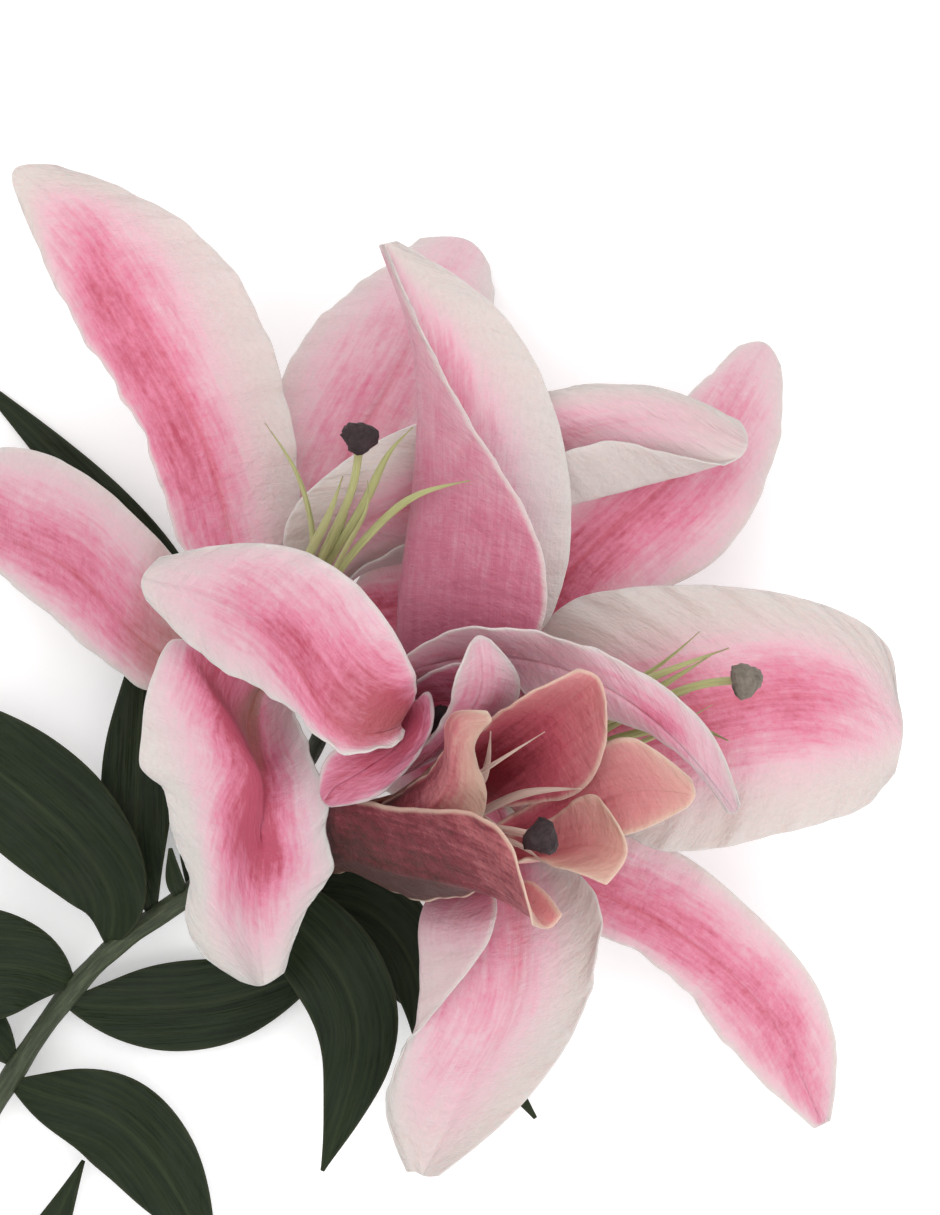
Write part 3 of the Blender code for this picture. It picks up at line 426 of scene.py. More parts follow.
# How each petal looks.
# band: where the coloured band of its inner face has its middle and how wide it is, as v, then how
# strong it is at even steps from the claw to the tip.
# back: the same for its outer face, where that isn't just a weaker one.
# green: how green its claw is, how far up as u and how wide as v, where that isn't PLAIN_GREEN.
# ruffle: how high its margins wave in millimetres, how long a wave is and where it starts.
# spots: more colour, or less, round a place: its u and v, how far it reaches along and across, how much.
# creases: small folds, each from one u and v to another, with its height in millimetres.
# finish: its colours, where they aren't those of the rest of its bloom.
LOOKS = {
    "upper_petal_right": {
        "band": (0.0, 0.36, 0.1, 0.25, 0.45, 0.3, 0.1), "back": (0.2, 1.0, 0.0, 0.1, 0.1, 0.05, 0.0),
        "ruffle": (0.5, 17, 0.4),
    },
    "upper_sepal_top": {
        "band": (-0.1, 0.75, 0.3, 0.4, 0.5, 0.35, 0.25), "green": (0.4, 0.2, 1.0), "ruffle": (0.6, 19, 1.1),
        "creases": ((0.55, -0.5, 0.45, -0.2, 0.3),),
    },
    "upper_petal_left": {
        "band": (-0.35, 0.75, 0.2, 0.55, 0.82, 0.75, 0.3), "green": (0.2, 0.2, 1.0), "ruffle": (0.9, 18, 2.2),
        "creases": ((0.62, 0.2, 0.70, 0.45, 0.4), (0.5, -0.6, 0.42, -0.35, 0.3)),
        "spots": ((1.0, 0.0, 0.1, 1.0, -0.4),),
    },
    "upper_sepal_left": {
        "band": (0.0, 0.75, 0.3, 0.65, 0.7, 0.7, 0.6), "green": (1.0, 0.35, 1.0), "ruffle": (0.8, 21, 3.0),
    },
    "upper_petal_down": {
        "band": (0.0, 0.75, 0.3, 0.4, 0.8, 0.85, 0.45, 0.0), "green": (1.0, 0.5, 0.2),
        "ruffle": (0.5, 13, 0.9),
        "creases": ((0.58, -0.35, 0.57, 0.45, 0.5), (0.62, -0.2, 0.66, 0.4, 0.3)),
        "spots": (
            (0.52, -0.1, 0.12, 0.4, 0.2), (0.66, 0.0, 0.12, 0.35, 0.2),
            (0.57, 0.45, 0.14, 0.3, 0.4), (0.40, 0.5, 0.10, 0.3, 0.3), (0.27, 0.7, 0.12, 0.4, 0.35),
            (0.7, 1.05, 0.2, 0.25, -0.4),
        ),
    },
    "upper_sepal_under": {
        "band": (0.0, 0.6, 0.5, 0.8, 0.8, 0.6, 0.2), "green": (0.8, 0.2, 1.0), "ruffle": (0.4, 17, 0.2),
    },
    "right_petal_side": {
        "band": (0.05, 0.5, 0.2, 0.5, 0.7, 0.7, 0.15), "ruffle": (0.9, 16, 1.7),
        "creases": (
            (0.72, -0.45, 0.77, 0.1, 0.5), (0.77, 0.1, 0.76, 0.35, 0.4), (0.9, -0.5, 0.91, -0.1, 0.5),
            (0.91, -0.1, 0.94, 0.25, 0.4), (0.5, 0.5, 0.56, 0.75, 0.3),
        ),
    },
    "right_sepal_top": {
        "band": (0.0, 0.85, 0.75, 0.85, 0.75, 0.55, 0.2), "green": (0.5, 0.2, 1.0), "ruffle": (0.6, 20, 2.7),
    },
    "right_petal_top": {
        "band": (0.45, 0.35, 0.6, 0.6, 0.7, 0.6, 0.2), "back": (-0.5, 1.1, 0.9, 0.85, 0.7, 0.5, 0.3),
        "ruffle": (0.4, 14, 0.3),
        "creases": ((0.75, 0.35, 0.72, 0.7, 0.5), (0.79, 0.4, 0.78, 0.65, 0.4), (0.70, 0.3, 0.66, 0.5, 0.3)),
    },
    "right_sepal_under": {
        "band": (0.0, 0.7, 0.5, 0.8, 0.8, 0.6, 0.3), "green": (0.7, 0.2, 1.0), "ruffle": (0.4, 15, 1.9),
    },
    "right_petal_down": {
        "band": (0.3, 0.5, 0.7, 0.7, 0.5, 0.3, 0.0), "back": (0.9, 0.7, 0.9, 0.7, 0.15, 0.05, 0.0),
        "ruffle": (0.5, 19, 2.4),
        "creases": ((0.66, 0.35, 0.62, 0.6, 0.4),),
        "spots": ((0.3, 0.8, 0.1, 0.3, 0.3),),
    },
    "right_sepal_down": {
        "band": (0.0, 0.8, 0.6, 0.7, 0.7, 0.7, 0.5), "green": (0.4, 0.2, 1.0), "ruffle": (0.7, 22, 0.6),
    },
    "front_petal_top": {
        "band": (0.0, 1.3, 1.3, 1.3, 1.15, 0.75, 0.35), "ruffle": (0.3, 14, 1.4),
    },
    "front_sepal_top": {
        "band": (-0.2, 1.1, 1.2, 1.2, 0.95, 0.6, 0.3), "back": (0.0, 1.5, 0.9, 0.8, 0.7, 0.5, 0.3),
        "green": (0.4, 0.2, 1.0), "ruffle": (0.3, 15, 2.0), "finish": "pink",
    },
    "front_petal_left": {
        "band": (0.0, 1.1, 1.0, 0.9, 0.7, 0.5, 0.2), "back": (1.0, 1.1, 1.0, 1.0, 0.8, 0.45, 0.1),
        "ruffle": (0.3, 13, 0.1),
    },
    "front_sepal_left": {
        "band": (0.0, 1.1, 0.9, 0.8, 0.6, 0.4, 0.2), "back": (0.1, 1.5, 0.9, 0.9, 0.75, 0.65, 0.4),
        "green": (0.2, 0.2, 1.0), "ruffle": (0.4, 16, 1.2),
        "spots": ((0.5, -0.7, 0.4, 0.6, 0.5),),
    },
    "front_petal_down": {
        "band": (-0.1, 1.1, 1.2, 1.15, 0.8, 0.4, 0.1), "green": (0.2, 0.2, 1.0), "ruffle": (0.5, 14, 2.9),
    },
    "front_sepal_right": {
        "band": (0.0, 1.1, 1.2, 1.15, 0.9, 0.5, 0.15), "green": (0.2, 0.2, 1.0), "ruffle": (0.4, 15, 0.8),
    },
    "middle_petal_left": {
        "band": (0.1, 0.85, 0.8, 0.8, 0.7, 0.5, 0.05), "green": (0.5, 0.5, 0.7), "ruffle": (0.7, 15, 1.0),
        "creases": ((0.62, -0.1, 0.66, 0.3, 0.3), (0.5, 0.1, 0.56, 0.4, 0.3)),
        "spots": (
            (0.34, 0.6, 0.13, 0.4, 0.45), (0.40, 0.0, 0.10, 0.4, 0.1), (0.62, 0.15, 0.10, 0.25, 0.25),
        ),
    },
    "middle_sepal_left": {
        "band": (0.0, 1.3, 1.2, 1.2, 1.0, 0.85, 0.75), "ruffle": (0.3, 14, 0.5),
        "spots": ((0.5, -0.2, 0.12, 0.5, 0.3),),
    },
    "middle_petal_down": {
        "band": (0.0, 1.2, 0.6, 0.8, 0.8, 0.7, 0.4), "green": (0.8, 0.2, 1.0), "ruffle": (0.2, 14, 0.5),
    },
    "middle_sepal_down": {
        "band": (0.0, 1.2, 0.6, 0.8, 0.8, 0.7, 0.4), "green": (0.8, 0.2, 1.0), "ruffle": (0.2, 14, 0.5),
    },
    "middle_petal_right": {
        "band": (0.0, 1.6, 0.9, 0.9, 0.8, 0.7, 0.4), "green": (0.4, 0.2, 1.0), "ruffle": (0.3, 14, 0.5),
    },
    "middle_sepal_right": {
        "band": (-0.1, 1.1, 0.7, 0.4, 0.3, 0.4, 0.25), "ruffle": (0.4, 18, 2.5),
        "spots": ((0.72, -0.2, 0.08, 0.4, 0.35),),
    },
}

# How wide a crease is, in millimetres.
CREASE_HALF_WIDTH = 0.7

# The colours of each petal finish: its margins, then its band from light to deep, its midrib line
# and its claw.
PINK_INSIDE = (
    (0.56, 0.525, 0.495), (0.65, 0.425, 0.48), (0.60, 0.19, 0.29), (0.40, 0.058, 0.11),
    (0.52, 0.10, 0.14), (0.13, 0.15, 0.035),
)
PINK_OUTSIDE = (
    (0.56, 0.51, 0.48), (0.54, 0.34, 0.38), (0.46, 0.145, 0.22), (0.38, 0.095, 0.15),
    (0.46, 0.17, 0.18), (0.22, 0.26, 0.08),
)
DUSTY_INSIDE = (
    (0.57, 0.42, 0.33), (0.53, 0.23, 0.23), (0.39, 0.075, 0.105), (0.13, 0.006, 0.012),
    (0.28, 0.04, 0.055), (0.10, 0.02, 0.02),
)
DUSTY_OUTSIDE = (
    (0.57, 0.43, 0.33), (0.42, 0.14, 0.15), (0.155, 0.024, 0.034), (0.048, 0.013, 0.010),
    (0.08, 0.018, 0.018), (0.10, 0.08, 0.03),
)

# Noise on petals and leaves: how fine it is along the surface, then across it, in waves a millimetre.
PETAL_CLOUD = (0.09, 0.14)
PETAL_STREAK = (0.05, 0.65)
PETAL_GRAIN = (0.5, 0.8)
PETAL_FIBRE = (0.05, 1.6)
PETAL_CREASE = (0.22, 0.12)
LEAF_STREAK = (0.03, 0.8)
LEAF_PATCH = (0.06, 0.12)
LEAF_FIBRE = (0.02, 1.3)

# How much of each noise the mottle of a petal holds, and where their sum has its middle.
CLOUD_SHARE = 0.9
STREAK_SHARE = 1.1
GRAIN_SHARE = 0.9
MOTTLE_MIDDLE = 1.38

# How deep the bumps of each noise are, in millimetres.
PETAL_FIBRE_DEPTH = 0.12
PETAL_CREASE_DEPTH = 1.1
LEAF_FIBRE_DEPTH = 0.45
LEAF_PATCH_DEPTH = 1.2

# The colours of the leaves and stems: veins or ribs from low to high, then what lies over them.
LEAF_VEINS = ((0.3, (0.005, 0.010, 0.003)), (0.5, (0.010, 0.018, 0.006)), (0.75, (0.020, 0.030, 0.011)))
LEAF_BLOTCH = (0.020, 0.027, 0.015)
LEAF_MIDRIB = (0.028, 0.040, 0.016)
LEAF_MARGIN = (0.040, 0.046, 0.022)
STEM_RIBS = ((0.25, (0.022, 0.031, 0.015)), (0.55, (0.045, 0.059, 0.030)), (0.85, (0.095, 0.105, 0.055)))
STEM_SPECK = (0.060, 0.040, 0.022)

# The colours of filaments and styles: foot, length and tip. The colours of stigmas: low and high.
GREEN_THREAD = ((0.38, 0.44, 0.12), (0.52, 0.53, 0.24), (0.42, 0.38, 0.18))
CREAM_THREAD = ((0.60, 0.33, 0.27), (0.80, 0.62, 0.54), (0.72, 0.50, 0.42))
DARK_STIGMA = ((0.012, 0.006, 0.008), (0.055, 0.032, 0.034))
GREY_STIGMA = ((0.12, 0.10, 0.08), (0.26, 0.22, 0.18))

# How far red, green and blue light scatter inside petals and threads, in metres.
PETAL_SCATTER = (0.005, 0.0025, 0.0025)
THREAD_SCATTER = (0.001, 0.001, 0.0005)

# Floor, lights and camera, in metres.
FLOOR_HALF_WIDTH = 6.0
WORLD_STRENGTH = 0.80
# The floor glows a little though it is no lamp: painted light that keeps the shadows cast on it pale and
# lights the undersides of the petals.
FLOOR_GLOW = 0.25
KEY_PLACE = (-0.35, 0.65, 1.6)
KEY_SIZE = 1.2
KEY_POWER = 10.0
FILL_PLACE = (0.7, -0.5, 1.3)
FILL_SIZE = 1.4
FILL_POWER = 11.0
LIGHT_TARGET = (0.0, 0.22, 0.0)
CAMERA_LENS = 180.15
CAMERA_PLACE = (0.059, 0.223, 1.59)

# Fineness of the meshes.
PETAL_ROWS = 96
PETAL_COLUMNS = 48
LEAF_ROWS = 48
LEAF_COLUMNS = 16
TUBE_SIDES = 18
STEM_STEP = 3.0
STYLE_STEP = 1.5
FILAMENT_STEP = 1.2
RECEPTACLE_RINGS = 7
STIGMA_RINGS = 14
CREASE_POINTS = 24

# Petals: thickest along the middle, thin at the rim, with a groove over the midrib.
PETAL_THICKNESS = 1.1
PETAL_RIM_SHARE = 0.5
MARGIN_ROUNDING = 4
TIP_ROUNDING = 12
GROOVE_DEPTH = 0.7
GROOVE_WIDTH = 0.07
RUFFLE_START = 0.15
RUFFLE_POWER = 3.0

# Tints of a petal: the fall of its band to the sides, its outer face, its claw and its midrib line.
BAND_EDGE_POWER = 2.6
OUTER_BAND_SHARE = 0.6
MOST_TINT = 1.3
PLAIN_GREEN = (0.3, 0.2, 1.0)
MIDRIB_STRENGTH = 0.75
MIDRIB_HALF_WIDTH = 0.05
OUTER_MIDRIB_SHARE = 0.3

# Leaves: folded along the midrib, with the halves arched and the margins a little wavy.
LEAF_THICKNESS = 0.8
LEAF_RIM_SHARE = 0.5
LEAF_END_HALF_WIDTH = 1.2
LEAF_END_TAPER = 0.7
LEAF_WIDEST = 0.85
LEAF_TAPER = 1.1
LEAF_FOLD = 0.26
LEAF_FOLD_ROUNDING = 0.02
LEAF_ARCH = 0.10
LEAF_WAVE = 0.7
LEAF_WAVE_LENGTH = 21.0
LEAF_WAVE_LAG = 1.3
LEAF_FOOT_SHARE = 0.7

# The margin round the flat map of a face, and how much of the rest the face fills inside its rim.
MAP_GAP = 0.01
FACE_MAP_SHARE = 0.98


def unit(vector):
    """Return the vector at length one."""
    vector = np.asarray(vector, dtype=float)
    return vector / np.linalg.norm(vector)


def spline(knots, values, where):
    """Return a natural cubic spline through values at knots, read at where."""
    knots = np.asarray(knots, dtype=float)
    values = np.asarray(values, dtype=float)
    where = np.asarray(where, dtype=float)
    count = len(knots)
    steps = np.diff(knots)
    system = np.eye(count)
    target = np.zeros_like(values)
    slopes = np.diff(values, axis=0) / steps[:, None]
    for k in range(1, count - 1):
        system[k, k - 1:k + 2] = steps[k - 1], 2 * (steps[k - 1] + steps[k]), steps[k]
        target[k] = 6 * (slopes[k] - slopes[k - 1])
    bends = np.linalg.solve(system, target)
    cell = np.clip(np.searchsorted(knots, where) - 1, 0, count - 2)
    step = steps[cell][:, None]
    after = ((where - knots[cell]) / steps[cell])[:, None]
    before = 1 - after
    bow = (before**3 - before) * bends[cell] + (after**3 - after) * bends[cell + 1]
    return before * values[cell] + after * values[cell + 1] + bow * step**2 / 6


def smooth_curve(points, count):
    """Return count + 1 evenly spaced points on a smooth curve through points."""
    points = np.asarray(points, dtype=float)
    lengths = np.linalg.norm(np.diff(points, axis=0), axis=1)
    knots = np.concatenate(([0.0], np.cumsum(lengths)))
    return spline(knots, points, np.linspace(0, knots[-1], count + 1))


def bloom_frame(bloom):
    """Return a bloom's base, its axis and the two directions at turns of 0 and 90 degrees."""
    axis = unit(bloom["axis"])
    zero = np.asarray(bloom["zero"], dtype=float)
    first = unit(zero - axis * np.dot(zero, axis))
    return np.asarray(bloom["base"], dtype=float), axis, first, np.cross(axis, first)


def in_bloom(bloom, height, radius, turn):
    """Return the point at a height up a bloom's axis, a radius from it and a turn round it."""
    base, axis, first, second = bloom_frame(bloom)
    angle = math.radians(turn)
    return base + axis * height + (first * math.cos(angle) + second * math.sin(angle)) * radius


def claw_points(petal, side):
    """Return the foot and the top of a petal's claw, at side 1 for its left and -1 for its right."""
    bloom = BLOOMS[petal["bloom"]]
    is_petal = petal["place"] % 2 == 0
    foot_radius = PETAL_FOOT_RADIUS if is_petal else SEPAL_FOOT_RADIUS
    flare = PETAL_FLARE if is_petal else SEPAL_FLARE
    half_angle = PETAL_CLAW_HALF_ANGLE if is_petal else SEPAL_CLAW_HALF_ANGLE
    turn = bloom["turn"] + WHORL_STEP * petal["place"] + side * half_angle
    foot = in_bloom(bloom, CLAW_FOOT, foot_radius, turn)
    return [foot, in_bloom(bloom, petal["claw"], foot_radius + flare * petal["claw"], turn)]


def petal_grid(petal):
    """Return the middle surface of a petal as rows of points from its left to its right margin."""
    used = [side for side in GUIDE_PLACES if side in petal]
    guides = []
    for side in used:
        claw = claw_points(petal, -GUIDE_PLACES[side])
        guides.append(smooth_curve(claw + list(petal[side]), PETAL_ROWS))
    knots = [GUIDE_PLACES[side] for side in used]
    across = np.linspace(-1, 1, PETAL_COLUMNS + 1)
    return np.array([spline(knots, row, across) for row in np.stack(guides, axis=1)])


def grid_normals(grid):
    """Return the unit normals of a grid of points."""
    normals = np.cross(np.gradient(grid, axis=1), np.gradient(grid, axis=0))
    return normals / np.maximum(np.linalg.norm(normals, axis=2, keepdims=True), 1e-9)


def along_lengths(grid):
    """Return each point's distance from the first row along its own guide."""
    steps = np.linalg.norm(np.diff(grid, axis=0), axis=2)
    return np.concatenate((np.zeros((1, grid.shape[1])), np.cumsum(steps, axis=0)))


def across_lengths(grid):
    """Return each point's distance from the middle column along its own row."""
    steps = np.linalg.norm(np.diff(grid, axis=1), axis=2)
    run = np.concatenate((np.zeros((grid.shape[0], 1)), np.cumsum(steps, axis=1)), axis=1)
    return run - run[:, grid.shape[1] // 2][:, None]


def margin_wave(along, wave, phase):
    """Return a wave that runs along a margin."""
    return np.sin(2 * np.pi * along / wave + phase)


def relief(petal, grid):
    """Return how far each point of a petal stands off its smooth surface."""
    rows, columns = grid.shape[:2]
    u = np.linspace(0, 1, rows)[:, None]
    v = np.linspace(-1, 1, columns)[None, :]
    along = along_lengths(grid)
    size, wave, phase = petal["ruffle"]
    swell = np.sin(np.pi * np.clip(u * (1 + RUFFLE_START) - RUFFLE_START, 0, 1)) ** 0.7
    left = margin_wave(along, wave, phase)
    left = left + 0.5 * margin_wave(along, 0.43 * wave, 2 * phase)
    right = margin_wave(along, 1.17 * wave, 2.6 * phase + 1)
    right = right + 0.5 * margin_wave(along, 0.51 * wave, phase)
    ruffle = size * swell * np.where(v < 0, left, right) * np.abs(v) ** RUFFLE_POWER
    groove = -GROOVE_DEPTH * np.exp(-(v / GROOVE_WIDTH) ** 2) * np.sin(np.pi * u) ** 0.5
    return ruffle + groove + sum(crease_relief(grid, crease) for crease in petal.get("creases", ()))


def crease_relief(grid, crease):
    """Return how far a small fold from one u and v to another lifts each point of a petal."""
    rows, columns = grid.shape[:2]
    start_u, start_v, end_u, end_v, height = crease
    share = np.linspace(0, 1, CREASE_POINTS)
    row = np.rint((start_u + (end_u - start_u) * share) * (rows - 1)).astype(int)
    column = np.rint((start_v + (end_v - start_v) * share + 1) / 2 * (columns - 1)).astype(int)
    line = grid[row, column]
    reach = np.linalg.norm(grid[:, :, None] - line[None, None], axis=3)
    lift = np.exp(-(reach.min(axis=2) / CREASE_HALF_WIDTH) ** 2)
    place = reach.argmin(axis=2) / (CREASE_POINTS - 1)
    return height * lift * np.sin(np.pi * np.clip(place, 0.08, 0.92))


def bent(petal, grid):
    """Return a petal's surface with its ruffled margins and the groove over its midrib."""
    return grid + grid_normals(grid) * relief(petal, grid)[:, :, None]


def rim_round(rows, columns):
    """Return the numbers of a grid's rim points, in order round it."""
    rim = list(range(columns))
    rim += [r * columns + columns - 1 for r in range(1, rows)]
    rim += [(rows - 1) * columns + c for c in range(columns - 2, -1, -1)]
    rim += [r * columns for r in range(rows - 2, 0, -1)]
    return rim


def sheet_faces(rows, columns, rim):
    """Return a sheet's faces and which side each is on, 0 above and 1 below."""
    size = rows * columns
    faces = []
    for r in range(rows - 1):
        for c in range(columns - 1):
            corner = r * columns + c
            quad = (corner, corner + 1, corner + columns + 1, corner + columns)
            faces += [quad, tuple(size + k for k in reversed(quad))]
    for k, here in enumerate(rim):
        there = rim[(k + 1) % len(rim)]
        ring_here = 2 * size + k
        ring_there = 2 * size + (k + 1) % len(rim)
        faces.append((there, here, ring_here, ring_there))
        faces.append((ring_there, ring_here, size + here, size + there))
    return faces, [0, 1] * (len(faces) // 2)


def sheet_mesh(grid, thickness, rim_share):
    """Return a sheet about a grid, rounded at its rim.

    It returns the points, the faces, the side each face is on and the grid point that each point
    comes from. The points are the upper side's, then the lower side's, then a ring round the rim.
    """
    rows, columns = grid.shape[:2]
    u = np.abs(np.linspace(-1, 1, rows))[:, None]
    v = np.abs(np.linspace(-1, 1, columns))[None, :]
    body = (1 - v**MARGIN_ROUNDING) * (1 - u**TIP_ROUNDING)
    half = (thickness / 2 * (rim_share + (1 - rim_share) * body)).reshape(-1, 1)
    normals = grid_normals(grid).reshape(-1, 3)
    flat = grid.reshape(-1, 3)
    rim = rim_round(rows, columns)
    ring = []
    for k, corner in enumerate(rim):
        way = flat[rim[(k + 1) % len(rim)]] - flat[rim[k - 1]]
        outward = np.cross(way, normals[corner])
        outward /= max(np.linalg.norm(outward), 1e-9)
        ring.append(flat[corner] + outward * half[corner])
    faces, sides = sheet_faces(rows, columns, rim)
    source = list(range(rows * columns)) * 2 + rim
    points = np.concatenate((flat + normals * half, flat - normals * half, np.array(ring)))
    return points, faces, sides, source


def tube_frames(points):
    """Return two cross directions at each point of a path, with no twist between them."""
    tangents = [unit(way) for way in np.gradient(points, axis=0)]
    side = unit(np.cross(tangents[0], (0.31, 0.17, 0.93)))
    frames = []
    for tangent in tangents:
        side = unit(side - tangent * np.dot(side, tangent))
        frames.append((side, np.cross(tangent, side)))
    return frames


def tube_mesh(points, radii, frames=None, squash=1.0, lobes=0, lobe_depth=0.0):
    """Return a closed tube along points: its points, faces and surface data.

    squash is its depth over its width, and lobes the number of ridges round it.
    """
    points = np.asarray(points, dtype=float)
    frames = frames or tube_frames(points)
    lengths = np.concatenate(([0.0], np.cumsum(np.linalg.norm(np.diff(points, axis=0), axis=1))))
    vertices = []
    runs = []
    for k, (point, radius, (side, other)) in enumerate(zip(points, radii, frames)):
        for j in range(TUBE_SIDES):
            angle = 2 * math.pi * j / TUBE_SIDES
            reach = radius * (1 + lobe_depth * math.cos(lobes * angle))
            aside = side * math.cos(angle) * reach
            vertices.append(point + aside + other * math.sin(angle) * reach * squash)
            runs.append((lengths[k], angle, lengths[k] / lengths[-1]))
    last = (len(points) - 1) * TUBE_SIDES
    faces = [tuple(range(TUBE_SIDES - 1, -1, -1)), tuple(last + j for j in range(TUBE_SIDES))]
    for k in range(len(points) - 1):
        for j in range(TUBE_SIDES):
            here = k * TUBE_SIDES + j
            beside = k * TUBE_SIDES + (j + 1) % TUBE_SIDES
            faces.append((here, beside, beside + TUBE_SIDES, here + TUBE_SIDES))
    return vertices, faces, runs


def add_tubes(name, tubes, material, node):
    """Add a piece made of one or more tubes."""
    points = []
    faces = []
    runs = []
    for tube_points, tube_faces, tube_runs in tubes:
        faces += [tuple(len(points) + k for k in face) for face in tube_faces]
        points += list(tube_points)
        runs += list(tube_runs)
    runs = np.array(runs)
    places = np.stack((runs[:, 1] / (2 * math.pi), runs[:, 2]), axis=1)
    tints = np.zeros((len(points), 3))
    add_piece(name, points, faces, runs, tints, [material], [0] * len(faces), places, node)


def stations_along(points, step):
    """Return evenly spaced points on the smooth curve through points, about a step apart."""
    length = np.linalg.norm(np.diff(np.asarray(points, dtype=float), axis=0), axis=1).sum()
    return smooth_curve(points, max(4, round(length / step)))


def stem_radius(y):
    """Return the stem's radius at a height Y on it: it thins upwards and swells under each leaf."""
    first, last = STEM_POINTS[0][1], STEM_POINTS[-1][1]
    radius = STEM_CUT_RADIUS + (STEM_TOP_RADIUS - STEM_CUT_RADIUS) * (y - first) / (last - first)
    joints = list(LOWER_LEAF_YS) + [leaf[0] for leaf in UPPER_LEAVES.values()]
    swell = sum(math.exp(-((y - joint) / STEM_JOINT_REACH) ** 2) for joint in joints)
    return radius * (1 + STEM_JOINT_SWELL * min(swell, 1.0))


def add_stem(material):
    """Add the main stem with its joints and the knuckle where the stalks part."""
    path = stations_along(STEM_POINTS, STEM_STEP)
    radii = [stem_radius(point[1]) for point in path]
    way = unit(path[-1] - path[-2])
    end = [path[-1] + way * KNUCKLE_RADIUS * share for share, width in KNUCKLE_END]
    radii = radii[:-2] + [radii[-2] * KNUCKLE_NECK, KNUCKLE_RADIUS]
    radii += [KNUCKLE_RADIUS * width for share, width in KNUCKLE_END]
    cut = path[0] + (path[0] - path[1]) * CUT_BEVEL
    points = np.concatenate(([cut], path, end))
    radii = [radii[0] * (1 - CUT_BEVEL)] + radii
    add_tubes("stem", [tube_mesh(points, radii)], material, "main_stem")


def stem_place(y):
    """Return the stem's centre and direction where it passes a given Y."""
    path = stations_along(STEM_POINTS, STEM_STEP)
    k = int(np.clip(np.searchsorted(path[:, 1], y) - 1, 0, len(path) - 2))
    share = (y - path[k, 1]) / (path[k + 1, 1] - path[k, 1])
    return path[k] + (path[k + 1] - path[k]) * share, unit(path[k + 1] - path[k])


def add_stalk(name, bloom, material):
    """Add a bloom's ribbed stalk, from inside the knuckle to its flared receptacle."""
    knuckle = np.asarray(STEM_POINTS[-1], dtype=float)
    base, axis = bloom_frame(bloom)[:2]
    neck = base - axis * RECEPTACLE_LENGTH
    path = stations_along([knuckle] + list(bloom["stalk"]) + [neck], STEM_STEP)
    shares = np.linspace(0, 1, RECEPTACLE_RINGS + 1)[1:]
    flare = [neck + axis * RECEPTACLE_LENGTH * share for share in shares]
    growth = RECEPTACLE_RADIUS - STALK_RADIUS
    radii = [STALK_RADIUS] * len(path)
    radii += [STALK_RADIUS + growth * math.sin(share * math.pi / 2) for share in shares]
    tube = tube_mesh(np.concatenate((path, flare)), radii, lobes=STALK_RIBS, lobe_depth=STALK_RIB_DEPTH)
    add_tubes(name + "_flower_stalk", [tube], material, name + "_stalk")


def add_style(name, base, path, material):
    """Add a pistil's ribbed ovary and style along a path."""
    far = np.linalg.norm(path - base, axis=1)
    radii = [STYLE_RADIUS + (OVARY_RADIUS - STYLE_RADIUS) * (reach < OVARY_LENGTH) for reach in far]
    radii[-1] = STYLE_RADIUS * STYLE_END_SWELL
    tube = tube_mesh(path, radii, lobes=PISTIL_LOBES, lobe_depth=STYLE_LOBE_DEPTH)
    add_tubes(name + "_style", [tube], material, name + "_pistil")


def add_stigma(name, path, material):
    """Add a lobed and bumpy stigma at the end of a style's path."""
    way = unit(path[-1] - path[-2])
    shares = np.linspace(0, 1, STIGMA_RINGS)
    points = [path[-1] + way * STIGMA_LENGTH * (share - STIGMA_SUNK) for share in shares]
    rounding = [math.sin(math.pi * min(share * 0.97 + 0.02, 1)) ** 0.55 for share in shares]
    radii = [STIGMA_RADIUS * (STIGMA_END_SHARE + (1 - STIGMA_END_SHARE) * share) for share in rounding]
    points, faces, runs = tube_mesh(points, radii, lobes=PISTIL_LOBES, lobe_depth=STIGMA_LOBE_DEPTH)
    points = np.array(points)
    centre = points.mean(axis=0)
    bumps = np.sin(points * 1.9 + 1).prod(axis=1) + 0.5 * np.sin(points * 4.1).prod(axis=1)
    points += (points - centre) * STIGMA_BUMPS * bumps[:, None]
    add_tubes(name + "_stigma", [(points, faces, runs)], material, name + "_pistil")


def add_pistil(name, bloom, style_material, tip_material):
    """Add a bloom's pistil, from its ovary in the throat to its stigma."""
    base, axis = bloom_frame(bloom)[:2]
    ovary = [base + axis * height for height in (OVARY_FOOT, OVARY_LENGTH)]
    path = stations_along(ovary + list(bloom["style"]), STYLE_STEP)
    add_style(name, base, path, style_material)
    add_stigma(name, path, tip_material)


def flat_frames(path, outward):
    """Return two cross directions at each point of a path, with the second as near outward as can be."""
    frames = []
    for way in np.gradient(path, axis=0):
        way = unit(way)
        outward = unit(outward - way * np.dot(outward, way))
        frames.append((np.cross(way, outward), outward))
    return frames


def add_stamens(name, bloom, material):
    """Add a bloom's six filaments: flat, broad at the foot and drawn to a point."""
    ring_radius = sum(STAMEN_RING_RADII) / 2
    tubes = []
    for number, filament in enumerate(bloom["filaments"]):
        turn = bloom["turn"] + number * 360 / STAMENS
        start = in_bloom(bloom, FILAMENT_FOOT, ring_radius, turn)
        rise = in_bloom(bloom, OVARY_LENGTH, FILAMENT_SPREAD, turn)
        path = stations_along([start, rise] + list(filament), FILAMENT_STEP)
        frames = flat_frames(path, unit(start - bloom_frame(bloom)[0]))
        share = np.linspace(0, 1, len(path))
        point = np.clip((1 - share) * FILAMENT_TAPER, FILAMENT_TIP_SHARE, 1) ** 0.8
        radii = FILAMENT_HALF_WIDTH * point * (1.1 - 0.25 * share)
        tubes.append(tube_mesh(path, radii, frames, FILAMENT_FLATNESS))
    add_tubes(name + "_filaments", tubes, material, name + "_stamens")


